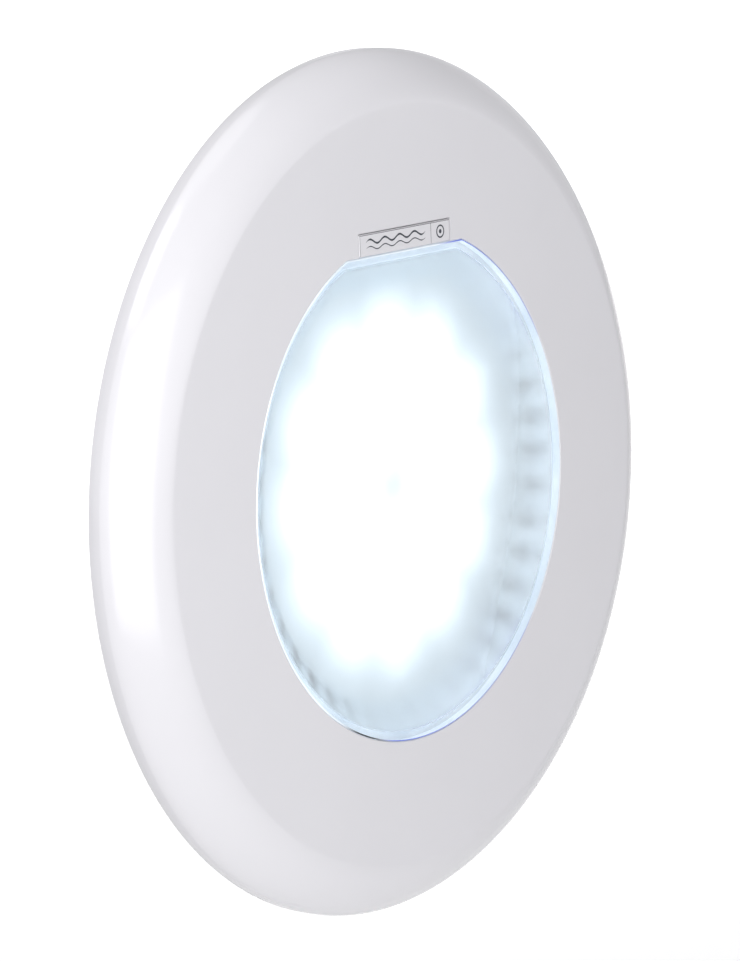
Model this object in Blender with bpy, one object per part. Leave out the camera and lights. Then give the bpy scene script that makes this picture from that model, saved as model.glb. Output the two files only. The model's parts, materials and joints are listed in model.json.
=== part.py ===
"""Surface-mounted underwater pool light on a bayonet wall bracket.

The light looks along -Y and the pool wall is the plane Y = 0.  The origin is where the light's
axis meets the wall, which is also the middle of the cable conduit.  +Z is up.

The lamp is a sealed plastic cup with a D-shaped front lens.  Its three lugs turn into three
hooks on the wall bracket.  A round faceplate pushes over the lamp: the lens flat keys it, four
spring clips grip it and one small screw locks it.  A snap-in badge hides that screw.
"""

import math

import bmesh
import bpy

# ---------------------------------------------------------------- driving dimensions (metres)
FACE_RADIUS = 0.139
FLAT_RADIUS = 0.1216
RIM_CURVE_DEPTH = 0.01455
RIM_SKIRT = 0.0041
RIM_POWER = 1.46
STAND_OFF = 0.00535
FACE_WALL = 0.0030
GAP = 0.0004

LENS_RADIUS = 0.0814
LENS_FLAT = 0.0754
LENS_FILLET = 0.0040
SMALLEST_FILLET = 0.0008
LENS_WALL = 0.0025
LENS_FRONT_THICKNESS = 0.0030
LENS_CHAMFER = 0.0005
FLANGE_RADIUS = 0.0880

BADGE_WIDTH = 0.0480
BADGE_TOP = 0.0830
BADGE_THICKNESS = 0.00115
POCKET_DEPTH = 0.0015

HOUSING_RADIUS = 0.0940
CAVITY_RADIUS = 0.0765
CLAMP_SCREW_COUNT = 8
CLAMP_SCREW_CIRCLE = 0.0912

LUG_COUNT = 3
LUG_SPAN = math.radians(21)
HOOK_SPAN = math.radians(21.8)
FIRST_LUG = math.radians(90)

BRACKET_RADIUS = 0.1080
BRACKET_THICKNESS = 0.0020
EAR_ANGLES = [math.radians(a) for a in (65, 115, 245, 295)]
EAR_CIRCLE = 0.1110
EAR_RADIUS = 0.0085
SPIGOT_BORE = 0.0250
SPIGOT_RADIUS = 0.0280
SPIGOT_LENGTH = 0.0200

CABLE_BORE = 0.0050

# ---------------------------------------------------------------- levels along Y, from the front
FRONT_Y = -(RIM_CURVE_DEPTH + RIM_SKIRT + STAND_OFF)


def level(depth):
    """Y of a plane that lies depth behind the front face."""
    return FRONT_Y + depth


RIM_END_Y = level(RIM_CURVE_DEPTH + RIM_SKIRT)
FACE_BACK_Y = level(FACE_WALL)
RING_FRONT_Y = level(0.0036)
RING_BACK_Y = level(0.0068)
HOUSING_TOP_Y = level(0.0071)
FLANGE_FRONT_Y = level(0.0071)
FLANGE_BACK_Y = level(0.0090)
SEAT_Y = level(0.0106)
LED_BOARD_Y = (level(0.0110), level(0.0125))
DRIVER_BOARD_Y = (level(0.0136), level(0.0148))
FLOOR_INSIDE_Y = level(0.0196)
FLOOR_OUTSIDE_Y = level(0.0216)
LUG_Y = (level(0.0160), level(0.0180))
HOOK_LIP_Y = (level(0.0135), level(0.0155))
BRACKET_FRONT_Y = -BRACKET_THICKNESS

# ---------------------------------------------------------------- the lock screw under the badge
LOCK_HEIGHT = 0.0796
LOCK_HEAD_RADIUS = 0.0028
LOCK_SHANK_RADIUS = 0.0015
LOCK_BOSS_RADIUS = 0.0052
INSERT_BOSS_RADIUS = 0.0036
INSERT_RADIUS = 0.0024

# ---------------------------------------------------------------- mesh resolution
ARC_STEPS = 60
FILLET_STEPS = 2
FLAT_STEPS = 8
ROUND_STEPS = 48
SMALL_STEPS = 10
SCREW_SIDES = 10
OVERSHOOT = 0.0010


# ================================================================= scene and material helpers
def clear_scene():
    """Remove whatever the file holds."""
    for obj in list(bpy.data.objects):
        bpy.data.objects.remove(obj, do_unlink=True)


def make_material(name, colour, roughness, metallic=0.0):
    """A Principled material with one colour."""
    material = bpy.data.materials.new(name)
    material.use_nodes = True
    shader = material.node_tree.nodes["Principled BSDF"]
    shader.inputs["Base Color"].default_value = (*colour, 1.0)
    shader.inputs["Roughness"].default_value = roughness
    shader.inputs["Metallic"].default_value = metallic
    return material


def make_materials():
    """One material for each kind of stuff the light is made of."""
    return {
        "white_abs": make_material("white_abs", (0.86, 0.86, 0.87), 0.30),
        "grey_abs": make_material("grey_abs", (0.62, 0.64, 0.66), 0.45),
        "lens_pc": make_material("lens_pc", (0.86, 0.93, 0.96), 0.15),
        "reflector_pc": make_material("reflector_pc", (0.90, 0.93, 0.95), 0.35),
        "board_white": make_material("board_white", (0.90, 0.91, 0.90), 0.50),
        "board_green": make_material("board_green", (0.03, 0.22, 0.10), 0.45),
        "rubber": make_material("rubber", (0.03, 0.03, 0.03), 0.75),
        "steel": make_material("steel", (0.70, 0.70, 0.69), 0.30, 1.0),
        "brass": make_material("brass", (0.75, 0.58, 0.30), 0.30, 1.0),
        "nylon_black": make_material("nylon_black", (0.04, 0.04, 0.045), 0.50),
        "nylon_grey": make_material("nylon_grey", (0.42, 0.44, 0.46), 0.55),
        "lead_red": make_material("lead_red", (0.55, 0.03, 0.02), 0.45),
        "lead_black": make_material("lead_black", (0.02, 0.02, 0.02), 0.45),
    }


# ================================================================= outlines and loops
def dee_outline(radius, flat, fillet):
    """(x, z) points of a circle cut flat at z = flat, with rounded corners."""
    centre_z = flat - fillet
    centre_x = math.sqrt((radius - fillet) ** 2 - centre_z**2)
    corner = math.atan2(centre_z, centre_x)
    sweep = math.pi + 2 * corner
    points = []
    for i in range(ARC_STEPS + 1):
        angle = corner - sweep * i / ARC_STEPS
        points.append((radius * math.cos(angle), radius * math.sin(angle)))
    for i in range(1, FILLET_STEPS + 1):
        angle = math.pi - corner - (math.pi / 2 - corner) * i / FILLET_STEPS
        points.append((-centre_x + fillet * math.cos(angle), centre_z + fillet * math.sin(angle)))
    for i in range(1, FLAT_STEPS + 1):
        points.append((centre_x * (2 * i / FLAT_STEPS - 1), flat))
    for i in range(1, FILLET_STEPS):
        angle = math.pi / 2 - (math.pi / 2 - corner) * i / FILLET_STEPS
        points.append((centre_x + fillet * math.cos(angle), centre_z + fillet * math.sin(angle)))
    return points


def lens_outline(offset=0.0):
    """The lens's own D, made larger by offset all round."""
    fillet = max(LENS_FILLET + offset, SMALLEST_FILLET)
    return dee_outline(LENS_RADIUS + offset, LENS_FLAT + offset, fillet)


def round_outline(radius):
    """A circle whose points lie on the same rays as those of the D, so that the two can be skinned."""
    rays = [math.atan2(z, x) for x, z in lens_outline()]
    return [(radius * math.cos(a), radius * math.sin(a)) for a in rays]


def circle(radius, steps=ROUND_STEPS, centre=(0.0, 0.0), first=0.0):
    """(x, z) points of a circle."""
    turn = 2 * math.pi / steps
    return [
        (centre[0] + radius * math.cos(first + turn * i), centre[1] + radius * math.sin(first + turn * i))
        for i in range(steps)
    ]


def polar(radius, angle):
    """(x, z) of a point on the face, from its radius and angle."""
    return radius * math.cos(angle), radius * math.sin(angle)


def add_skin(mesh, loops, ring):
    """Skin a stack of (outline, y) loops into mesh.  A ring joins its last loop to its first."""
    rows = [[mesh.verts.new((x, y, z)) for x, z in outline] for outline, y in loops]
    count = len(rows[0])
    pairs = list(zip(rows, rows[1:]))
    if ring:
        pairs.append((rows[-1], rows[0]))
    for one, two in pairs:
        for i in range(count):
            j = (i + 1) % count
            mesh.faces.new((one[i], one[j], two[j], two[i]))
    if not ring:
        mesh.faces.new(rows[0])
        mesh.faces.new(rows[-1])


def finish_object(name, mesh, material, crease=math.radians(32)):
    """Turn a bmesh into a named, smooth-shaded object with its faces pointing out."""
    bmesh.ops.recalc_face_normals(mesh, faces=mesh.faces)
    data = bpy.data.meshes.new(name)
    mesh.to_mesh(data)
    mesh.free()
    data.shade_smooth()
    data.set_sharp_from_angle(angle=crease)
    obj = bpy.data.objects.new(name, data)
    bpy.context.scene.collection.objects.link(obj)
    if material:
        data.materials.append(material)
    return obj


def skin(name, loops, material, ring=False):
    """One object from one stack of loops."""
    mesh = bmesh.new()
    add_skin(mesh, loops, ring)
    return finish_object(name, mesh, material)


def turned(name, section, material, steps=ROUND_STEPS):
    """A ring about the Y axis from its closed (radius, y) section."""
    return skin(name, [(circle(r, steps), y) for r, y in section], material, ring=True)


def tube_at(name, centre, section, material, steps=SMALL_STEPS):
    """A small ring about an axis along Y at centre, from its closed (radius, y) section."""
    return skin(name, [(circle(r, steps, centre), y) for r, y in section], material, ring=True)


# ================================================================= tools for Boolean modifiers
def hide_tool(obj):
    """A tool shapes other pieces and isn't one itself."""
    obj.hide_render = True
    obj.display_type = "WIRE"
    return obj


def pins(name, centres, radius, y_range, steps=SMALL_STEPS):
    """A tool of equal round pins along Y."""
    mesh = bmesh.new()
    for centre in centres:
        outline = circle(radius, steps, centre)
        add_skin(mesh, [(outline, y_range[0]), (outline, y_range[1])], ring=False)
    return hide_tool(finish_object(name, mesh, None))


def blocks(name, boxes):
    """A tool of boxes, each ((x0, x1), (y0, y1), (z0, z1)) turned by an angle about the Y axis."""
    mesh = bmesh.new()
    for (x0, x1), (y0, y1), (z0, z1), angle in boxes:
        c, s = math.cos(angle), math.sin(angle)
        corners = [(x0, z0), (x1, z0), (x1, z1), (x0, z1)]
        outline = [(c * x - s * z, s * x + c * z) for x, z in corners]
        add_skin(mesh, [(outline, y0), (outline, y1)], ring=False)
    return hide_tool(finish_object(name, mesh, None))


def sectors(name, pieces, steps=8):
    """A tool of annular sectors, each (inner, outer, first angle, last angle, (y0, y1))."""
    mesh = bmesh.new()
    for inner, outer, first, last, y_range in pieces:
        angles = [first + (last - first) * i / steps for i in range(steps + 1)]
        outline = [polar(outer, a) for a in angles] + [polar(inner, a) for a in reversed(angles)]
        add_skin(mesh, [(outline, y_range[0]), (outline, y_range[1])], ring=False)
    return hide_tool(finish_object(name, mesh, None))


def shape(obj, tool, operation):
    """Join a tool to an object, or cut it away."""
    modifier = obj.modifiers.new(tool.name, "BOOLEAN")
    modifier.operation = operation
    modifier.object = tool
    modifier.solver = "EXACT"


def join(obj, tool):
    shape(obj, tool, "UNION")


def cut(obj, tool):
    shape(obj, tool, "DIFFERENCE")


# ================================================================= faceplate and badge
RIB_COUNT = 12
RIB_THICKNESS = 0.0018
RIB_DEPTH = 0.0055
RIB_SPAN = (0.1040, 0.1230)
BLADE_ANGLES = [math.radians(a) for a in (45, 135, 225, 315)]
BLADE_RADII = (0.0953, 0.0976)
BLADE_HALF_WIDTH = 0.0060
BLADE_END_Y = level(0.0120)
PEG_X = 0.0160
PEG_RADIUS = 0.0012


def rim_curve(flat_radius, outer_radius, front_y, depth, steps):
    """(radius, y) points of the soft bevel between the flat front and the skirt."""
    points = []
    for i in range(steps + 1):
        angle = math.pi / 2 * i / steps
        out = math.sin(angle) ** (2 / RIM_POWER)
        back = 1 - math.cos(angle) ** (2 / RIM_POWER)
        points.append((flat_radius + (outer_radius - flat_radius) * out, front_y + depth * back))
    return points


def faceplate(material):
    """The white moulded disc: flat front, soft bevelled rim, open back with ribs and blades."""
    opening = lens_outline(GAP)
    outside = rim_curve(FLAT_RADIUS, FACE_RADIUS, FRONT_Y, RIM_CURVE_DEPTH, steps=7)
    inner_depth = RIM_CURVE_DEPTH - FACE_WALL / 2
    inside = rim_curve(FLAT_RADIUS - FACE_WALL / 2, FACE_RADIUS - FACE_WALL, FACE_BACK_Y, inner_depth, steps=4)
    loops = [(opening, FRONT_Y)]
    loops += [(round_outline(r), y) for r, y in outside]
    loops += [(round_outline(FACE_RADIUS), RIM_END_Y), (round_outline(FACE_RADIUS - FACE_WALL), RIM_END_Y)]
    loops += [(round_outline(r), y) for r, y in reversed(inside)]
    loops += [(opening, FACE_BACK_Y)]
    plate = skin("faceplate", loops, material, ring=True)

    bed = FACE_BACK_Y - OVERSHOOT
    turn = 2 * math.pi / RIB_COUNT
    ribs = [
        (RIB_SPAN, (bed, FACE_BACK_Y + RIB_DEPTH), (-RIB_THICKNESS / 2, RIB_THICKNESS / 2), turn * (i + 0.5))
        for i in range(RIB_COUNT)
    ]
    blades = [
        (BLADE_RADII, (bed, BLADE_END_Y), (-BLADE_HALF_WIDTH, BLADE_HALF_WIDTH), a) for a in BLADE_ANGLES
    ]
    join(plate, blocks("faceplate_ribs_and_blades", ribs + blades))
    lock = (0.0, LOCK_HEIGHT)
    join(plate, pins("faceplate_lock_boss", [lock], LOCK_BOSS_RADIUS, (bed, level(0.0044))))

    flush = (-0.0062, 0.0062), (FRONT_Y - OVERSHOOT, level(0.0054)), (0.0700, LENS_FLAT + GAP + 0.0002), 0.0
    cut(plate, blocks("lock_boss_flat", [flush]))

    half = BADGE_WIDTH / 2 + GAP
    pocket = (
        (-half, half),
        (FRONT_Y - OVERSHOOT, FRONT_Y + POCKET_DEPTH),
        (LENS_FLAT - OVERSHOOT, BADGE_TOP + GAP),
        0.0,
    )
    cut(plate, blocks("badge_pocket", [pocket]))
    through = (FRONT_Y, level(0.0044) + OVERSHOOT)
    cut(plate, pins("lock_counterbore", [lock], LOCK_HEAD_RADIUS + GAP, (FRONT_Y, level(0.0034))))
    cut(plate, pins("lock_clearance", [lock], LOCK_SHANK_RADIUS + GAP, through))
    peg_places = [(-PEG_X, LOCK_HEIGHT), (PEG_X, LOCK_HEIGHT)]
    cut(plate, pins("peg_holes", peg_places, PEG_RADIUS + GAP, through))
    return plate


def badge_plate(material):
    """The small snap-in cover over the lock screw, with two pegs behind."""
    half = BADGE_WIDTH / 2
    bottom = LENS_FLAT + 0.0006
    outline = [(-half, bottom), (half, bottom), (half, BADGE_TOP), (-half, BADGE_TOP)]
    back = FRONT_Y + BADGE_THICKNESS
    badge = skin("badge_plate", [(outline, FRONT_Y), (outline, back)], material)
    pegs = [(-PEG_X, LOCK_HEIGHT), (PEG_X, LOCK_HEIGHT)]
    join(badge, pins("badge_pegs", pegs, PEG_RADIUS, (FRONT_Y + BADGE_THICKNESS / 2, level(0.0032))))
    return badge


# ================================================================= screws
def screw(name, centre, head_y, tip_y, head, shank_radius, material, socket_radius=None):
    """A round-headed screw along Y.  head is (radius, height); the head starts at head_y."""
    radius, height = head
    under = head_y + height
    socket = socket_radius or shank_radius * 0.7
    tip = min(0.0012, (tip_y - under) / 3)
    sections = [
        (socket, head_y + height * 0.6),
        (socket, head_y),
        (radius, head_y + height * 0.3),
        (radius, under),
        (shank_radius, under),
        (shank_radius, tip_y - tip),
        (shank_radius * 0.5, tip_y),
    ]
    return skin(name, [(circle(r, SCREW_SIDES, centre), y) for r, y in sections], material)


def lock_screw(material):
    head = (LOCK_HEAD_RADIUS, 0.0014)
    return screw(
        "lock_screw", (0.0, LOCK_HEIGHT), level(0.0018), level(0.0080), head, LOCK_SHANK_RADIUS, material
    )


def clamp_screw_places():
    """The clamp screws stand clear of the lock screw's boss, half a pitch either side of the top."""
    turn = 2 * math.pi / CLAMP_SCREW_COUNT
    return [polar(CLAMP_SCREW_CIRCLE, math.pi / 2 + turn * (i + 0.5)) for i in range(CLAMP_SCREW_COUNT)]


def clamp_screws(material):
    """Pan-head screws that pull the clamp ring onto the housing, with heads sunk in the ring."""
    for i, place in enumerate(clamp_screw_places()):
        head = (0.0026, 0.0014)
        screw(f"clamp_screw_{i + 1}", place, level(0.0037), level(0.0128), head, 0.0014, material)


# ================================================================= lens and its seal
def lens(material):
    """The D-shaped hat of polycarbonate.  Its flange is clamped behind the faceplate."""
    inside = lens_outline(-LENS_WALL)
    loops = [
        (lens_outline(-LENS_CHAMFER), FRONT_Y),
        (lens_outline(), FRONT_Y + LENS_CHAMFER),
        (lens_outline(), FLANGE_FRONT_Y),
        (round_outline(FLANGE_RADIUS), FLANGE_FRONT_Y),
        (round_outline(FLANGE_RADIUS), FLANGE_BACK_Y),
        (inside, FLANGE_BACK_Y),
        (inside, FRONT_Y + LENS_FRONT_THICKNESS),
    ]
    obj = skin("lens", loops, material)
    hole = (FLANGE_FRONT_Y - OVERSHOOT, FLANGE_BACK_Y + OVERSHOOT)
    cut(obj, pins("lens_key_hole", [(0.0, LOCK_HEIGHT + GAP / 2)], INSERT_BOSS_RADIUS + GAP, hole))
    return obj


def lens_gasket(material):
    front, back = FLANGE_BACK_Y + 0.0003, SEAT_Y - 0.0003
    return turned("lens_gasket", [(0.0843, front), (0.0878, front), (0.0878, back), (0.0843, back)], material)


def clamp_ring(material):
    """Holds the lens down.  Its flat side carries the boss of the lock screw's insert."""
    opening = lens_outline(GAP)
    rim = round_outline(HOUSING_RADIUS)
    loops = [(opening, RING_FRONT_Y), (rim, RING_FRONT_Y), (rim, RING_BACK_Y), (opening, RING_BACK_Y)]
    ring = skin("clamp_ring", loops, material, ring=True)
    lock = (0.0, LOCK_HEIGHT)
    join(ring, pins("insert_boss", [lock], INSERT_BOSS_RADIUS, (level(0.0050), level(0.0088))))
    shallow = (RING_FRONT_Y - OVERSHOOT, level(0.0048))
    cut(ring, pins("boss_recess", [lock], LOCK_BOSS_RADIUS + GAP, shallow))
    cut(ring, pins("insert_pocket", [lock], INSERT_RADIUS + 0.0003, (level(0.0040), level(0.0098))))
    places = clamp_screw_places()
    cut(ring, pins("clamp_head_recess", places, 0.0029, (RING_FRONT_Y - OVERSHOOT, level(0.0054))))
    cut(ring, pins("clamp_screw_holes", places, 0.0018, (RING_FRONT_Y, RING_BACK_Y + OVERSHOOT)))
    cut(ring, pins("ring_peg_room", [(-PEG_X, LOCK_HEIGHT), (PEG_X, LOCK_HEIGHT)], 0.0020, shallow))
    return ring


def lock_insert(material):
    """The brass thread insert that the lock screw bites."""
    front, back = level(0.0050), level(0.0086)
    bore = LOCK_SHANK_RADIUS + 0.0003
    section = [(bore, front), (INSERT_RADIUS, front), (INSERT_RADIUS, back), (bore, back)]
    return tube_at("lock_insert", (0.0, LOCK_HEIGHT), section, material)


# ================================================================= inside the lamp
LED_RINGS = [(12, 0.0445), (6, 0.0215)]
LED_RADIUS = 0.0042
LED_HEIGHT = 0.0014
BOARD_SCREW_CIRCLE = 0.0620
DRIVER_SCREW_CIRCLE = 0.0440
DRIVER_RADIUS = 0.0500
DRIVER_HOLE = 0.0175
LEAD_RADIUS = 0.0157
LEAD_END = 0.0215
LEAD_THICKNESS = 0.0014


def three_places(radius, first):
    return [polar(radius, math.radians(first + 120 * i)) for i in range(3)]


def led_places():
    """Where the light-emitting diodes sit, ring by ring."""
    return [polar(radius, 2 * math.pi * i / count) for count, radius in LED_RINGS for i in range(count)]


def reflector(material):
    """The white ring that lines the lens wall round the diodes."""
    outer = lens_outline(-LENS_WALL - GAP)
    lip = lens_outline(-LENS_WALL - GAP - 0.0010)
    foot = lens_outline(-LENS_WALL - GAP - 0.0070)
    top, bottom = level(0.0036), SEAT_Y - 0.0003
    loops = [(outer, top), (lip, top), (foot, bottom - 0.0008), (foot, bottom), (outer, bottom)]
    return skin("reflector", loops, material, ring=True)


def led_board(material):
    """Aluminium-core board with its soldered diodes."""
    front, back = LED_BOARD_Y
    board = skin("led_board", [(circle(0.0760), front), (circle(0.0760), back)], material)
    packages = (front - LED_HEIGHT, front + 0.0003)
    join(board, pins("led_packages", led_places(), LED_RADIUS, packages, steps=8))
    holes = (front - OVERSHOOT, back + OVERSHOOT)
    cut(board, pins("led_board_holes", three_places(BOARD_SCREW_CIRCLE, 30), 0.0017, holes))
    cut(board, pins("led_lead_holes", [(0.0, LEAD_RADIUS), (0.0, -LEAD_RADIUS)], 0.0016, holes))
    return board


def driver_board(material):
    """Ring-shaped board with the rectifier, capacitors, coil and terminals on its rear side."""
    front, back = DRIVER_BOARD_Y
    section = [(DRIVER_HOLE, front), (DRIVER_RADIUS, front), (DRIVER_RADIUS, back), (DRIVER_HOLE, back)]
    board = turned("driver_board", section, material)
    root = back - 0.0003
    square_parts = [
        ((0.0240, 0.0380), (root, level(0.0190)), (-0.0070, 0.0070), math.radians(0)),
        ((0.0250, 0.0350), (root, level(0.0178)), (-0.0050, 0.0050), math.radians(60)),
        ((0.0240, 0.0370), (root, level(0.0188)), (-0.0060, 0.0060), math.radians(180)),
        ((0.0260, 0.0320), (root, level(0.0165)), (-0.0040, 0.0040), math.radians(240)),
    ]
    join(board, blocks("driver_square_parts", square_parts))
    cans = [polar(0.0310, math.radians(a)) for a in (105, 130, 290, 320)]
    join(board, pins("driver_cans", cans, 0.0042, (root, level(0.0186))))
    holes = (front - OVERSHOOT, back + OVERSHOOT)
    cut(board, pins("driver_board_holes", three_places(DRIVER_SCREW_CIRCLE, 90), 0.0017, holes))
    return board


def board_screws(material):
    """Screws that hold the two boards down on the housing's pillars."""
    head = (0.0026, 0.0012)
    for i, place in enumerate(three_places(BOARD_SCREW_CIRCLE, 30)):
        front = LED_BOARD_Y[0] - head[1] - 0.0002
        screw(f"led_board_screw_{i + 1}", place, front, level(0.0168), head, 0.0013, material)
    for i, place in enumerate(three_places(DRIVER_SCREW_CIRCLE, 90)):
        driver_head = (0.0026, 0.0007)
        front = DRIVER_BOARD_Y[0] - driver_head[1] - 0.0002
        screw(f"driver_screw_{i + 1}", place, front, level(0.0178), driver_head, 0.0013, material)


def led_lead(name, side, material):
    """A short insulated lead from the diode board, through the driver's hole, to the driver's back."""
    front, bend = LED_BOARD_Y[0] + 0.0003, DRIVER_BOARD_Y[1] + 0.0011
    path = [
        (0.0, front, side * LEAD_RADIUS),
        (0.0, bend - 0.0006, side * LEAD_RADIUS),
        (0.0, bend, side * (LEAD_RADIUS + 0.0012)),
        (0.0, bend, side * LEAD_END),
    ]
    curve = bpy.data.curves.new(name, "CURVE")
    curve.dimensions = "3D"
    curve.bevel_depth = LEAD_THICKNESS / 2
    curve.bevel_resolution = 1
    curve.use_fill_caps = True
    spline = curve.splines.new("POLY")
    spline.points.add(len(path) - 1)
    for point, place in zip(spline.points, path):
        point.co = (*place, 1.0)
    obj = bpy.data.objects.new(name, curve)
    bpy.context.scene.collection.objects.link(obj)
    curve.materials.append(material)
    return obj


# ================================================================= rear housing and its clips
LUG_RADIUS = 0.1024
CLIP_HALF_WIDTH = 0.0075
CLIP_LEAF = 0.0005


def rear_housing(material):
    """The lamp's cup: gasket seat, bored rim, board pillars, bayonet lugs and gland hole."""
    hole = GLAND_THREAD_RADIUS + 0.0003
    section = [
        (0.0885, HOUSING_TOP_Y),
        (HOUSING_RADIUS, HOUSING_TOP_Y),
        (HOUSING_RADIUS, FLOOR_OUTSIDE_Y - 0.0015),
        (HOUSING_RADIUS - 0.0015, FLOOR_OUTSIDE_Y),
        (hole, FLOOR_OUTSIDE_Y),
        (hole, FLOOR_INSIDE_Y),
        (CAVITY_RADIUS, FLOOR_INSIDE_Y),
        (CAVITY_RADIUS, SEAT_Y),
        (0.0885, SEAT_Y),
    ]
    housing = turned("rear_housing", section, material)
    floor = FLOOR_INSIDE_Y + OVERSHOOT
    tall = three_places(BOARD_SCREW_CIRCLE, 30)
    short = three_places(DRIVER_SCREW_CIRCLE, 90)
    join(housing, pins("tall_pillars", tall, 0.0040, (LED_BOARD_Y[1] + 0.0003, floor)))
    join(housing, pins("short_pillars", short, 0.0038, (DRIVER_BOARD_Y[1] + 0.0003, floor)))
    lugs = []
    for i in range(LUG_COUNT):
        middle = FIRST_LUG + 2 * math.pi * i / LUG_COUNT
        ends = (middle - LUG_SPAN / 2, middle + LUG_SPAN / 2)
        lugs.append((HOUSING_RADIUS - OVERSHOOT, LUG_RADIUS, *ends, LUG_Y))
    join(housing, sectors("bayonet_lugs", lugs))
    cut(housing, pins("rim_screw_holes", clamp_screw_places(), 0.0016, (level(0.0060), level(0.0140))))
    cut(housing, pins("tall_pillar_holes", tall, 0.0015, (level(0.0120), level(0.0175))))
    cut(housing, pins("short_pillar_holes", short, 0.0015, (level(0.0140), level(0.0185))))
    return housing


def grip_clips(material):
    """Bent steel clips on the housing.  Each takes one blade of the faceplate between its leaves."""
    inner = HOUSING_RADIUS + 0.0004
    outer = BLADE_RADII[1] + 0.0004
    top, bottom = level(0.0066), level(0.0129)
    for i, angle in enumerate(BLADE_ANGLES):
        section = [
            (inner, top),
            (inner + CLIP_LEAF, top),
            (inner + CLIP_LEAF, bottom - CLIP_LEAF),
            (outer, bottom - CLIP_LEAF),
            (outer, top),
            (outer + CLIP_LEAF, top - 0.0008),
            (outer + CLIP_LEAF, bottom),
            (inner, bottom),
        ]
        c, s = math.cos(angle), math.sin(angle)
        mesh = bmesh.new()
        rows = []
        for side in (-CLIP_HALF_WIDTH, CLIP_HALF_WIDTH):
            rows.append([mesh.verts.new((c * r - s * side, y, s * r + c * side)) for r, y in section])
        count = len(section)
        for k in range(count):
            following = (k + 1) % count
            mesh.faces.new((rows[0][k], rows[0][following], rows[1][following], rows[1][k]))
        mesh.faces.new(rows[0])
        mesh.faces.new(rows[1])
        finish_object(f"grip_clip_{i + 1}", mesh, material)


# ================================================================= cable gland
GLAND_THREAD_RADIUS = 0.0100
GLAND_HEX_RADIUS = 0.0136
GLAND_NUT_END_Y = 0.0190


def gland_washer(material):
    front, back = FLOOR_OUTSIDE_Y + 0.0003, -0.0010
    bore = GLAND_THREAD_RADIUS + 0.0003
    section = [(bore, front), (0.0140, front), (0.0140, back), (bore, back)]
    return turned("gland_washer", section, material, steps=24)


def gland_body(material):
    """Hexagon collar with a thread on each side and the cable bore through it."""
    steps = 24
    collar = [hexagon_radius(GLAND_HEX_RADIUS, 2 * math.pi * i / steps) for i in range(steps)]
    hexagon = [polar(r, 2 * math.pi * i / steps) for i, r in enumerate(collar)]
    thread = circle(GLAND_THREAD_RADIUS, steps)
    bore = circle(CABLE_BORE, steps)
    seal_seat = circle(0.0072, steps)
    loops = [
        (bore, level(0.0158)),
        (thread, level(0.0158)),
        (thread, -0.0007),
        (hexagon, -0.0007),
        (hexagon, 0.0042),
        (thread, 0.0042),
        (thread, 0.0118),
        (seal_seat, 0.0118),
        (seal_seat, 0.0052),
        (bore, 0.0052),
    ]
    return skin("gland_body", loops, material, ring=True)


def hexagon_radius(circumradius, angle):
    """Distance from the middle of a hexagon to its side in one direction."""
    sixth = math.pi / 3
    return circumradius * math.cos(sixth / 2) / math.cos((angle % sixth) - sixth / 2)


def gland_lock_nut(material):
    """The hexagon nut that holds the gland from inside the housing."""
    steps = 24
    front, back = level(0.0162), FLOOR_INSIDE_Y - 0.0003
    angles = [2 * math.pi * i / steps for i in range(steps)]
    hexagon = [polar(hexagon_radius(0.0148, a), a) for a in angles]
    bore = circle(GLAND_THREAD_RADIUS + 0.0003, steps)
    loops = [(bore, front), (hexagon, front), (hexagon, back), (bore, back)]
    return skin("gland_lock_nut", loops, material, ring=True)


def gland_seal(material):
    """The rubber bush that the nut squeezes onto the cable."""
    section = [(CABLE_BORE, 0.0055), (0.0069, 0.0055), (0.0069, 0.0130), (CABLE_BORE, 0.0130)]
    return turned("gland_seal", section, material, steps=24)


def gland_nut(material):
    """Domed hexagon nut at the rear end of the gland."""
    steps = 24
    angles = [2 * math.pi * i / steps for i in range(steps)]
    hexagon = [polar(hexagon_radius(0.0134, a), a) for a in angles]
    inside = circle(GLAND_THREAD_RADIUS + 0.0003, steps)
    loops = [
        (inside, 0.0046),
        (hexagon, 0.0046),
        (hexagon, 0.0126),
        (circle(0.0112, steps), 0.0136),
        (circle(0.0100, steps), 0.0166),
        (circle(0.0074, steps), GLAND_NUT_END_Y),
        (circle(CABLE_BORE, steps), GLAND_NUT_END_Y),
        (circle(CABLE_BORE, steps), 0.0145),
        (circle(0.0072, steps), 0.0134),
        (inside, 0.0134),
    ]
    return skin("gland_nut", loops, material, ring=True)


# ================================================================= wall bracket and its fixings
HOOK_WALL_RADII = (0.1032, 0.1062)
HOOK_LIP_RADIUS = 0.0966
HOOK_STOP_SPAN = math.radians(1.6)
DRAIN_COUNT = 12
DRAIN_CIRCLE = 0.0620
DRAIN_RADIUS = 0.0065
SEAL_GROOVE = (0.0128, 0.0162)


def bracket_angles(coarse=math.radians(7.5), fine_count=6):
    """Directions of the bracket's outline points, closer together round each ear."""
    half = math.asin(EAR_RADIUS / EAR_CIRCLE)
    angles = []
    for ear, following in zip(EAR_ANGLES, EAR_ANGLES[1:] + [EAR_ANGLES[0] + 2 * math.pi]):
        angles += [ear - half + 2 * half * i / fine_count for i in range(fine_count + 1)]
        first, last = ear + half + 0.003, following - half - 0.003
        steps = math.ceil((last - first) / coarse)
        angles += [first + (last - first) * i / steps for i in range(steps + 1)]
    return angles


def bracket_reach(angle):
    """How far out the plate goes in one direction: its circle, or the round end of an ear."""
    reach = BRACKET_RADIUS
    for ear in EAR_ANGLES:
        off = EAR_CIRCLE * math.sin(angle - ear)
        if abs(off) < EAR_RADIUS * 1.0001 and math.cos(angle - ear) > 0:
            along = EAR_CIRCLE * math.cos(angle - ear) + math.sqrt(max(0.0, EAR_RADIUS**2 - off**2))
            reach = max(reach, along)
    return reach


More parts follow.
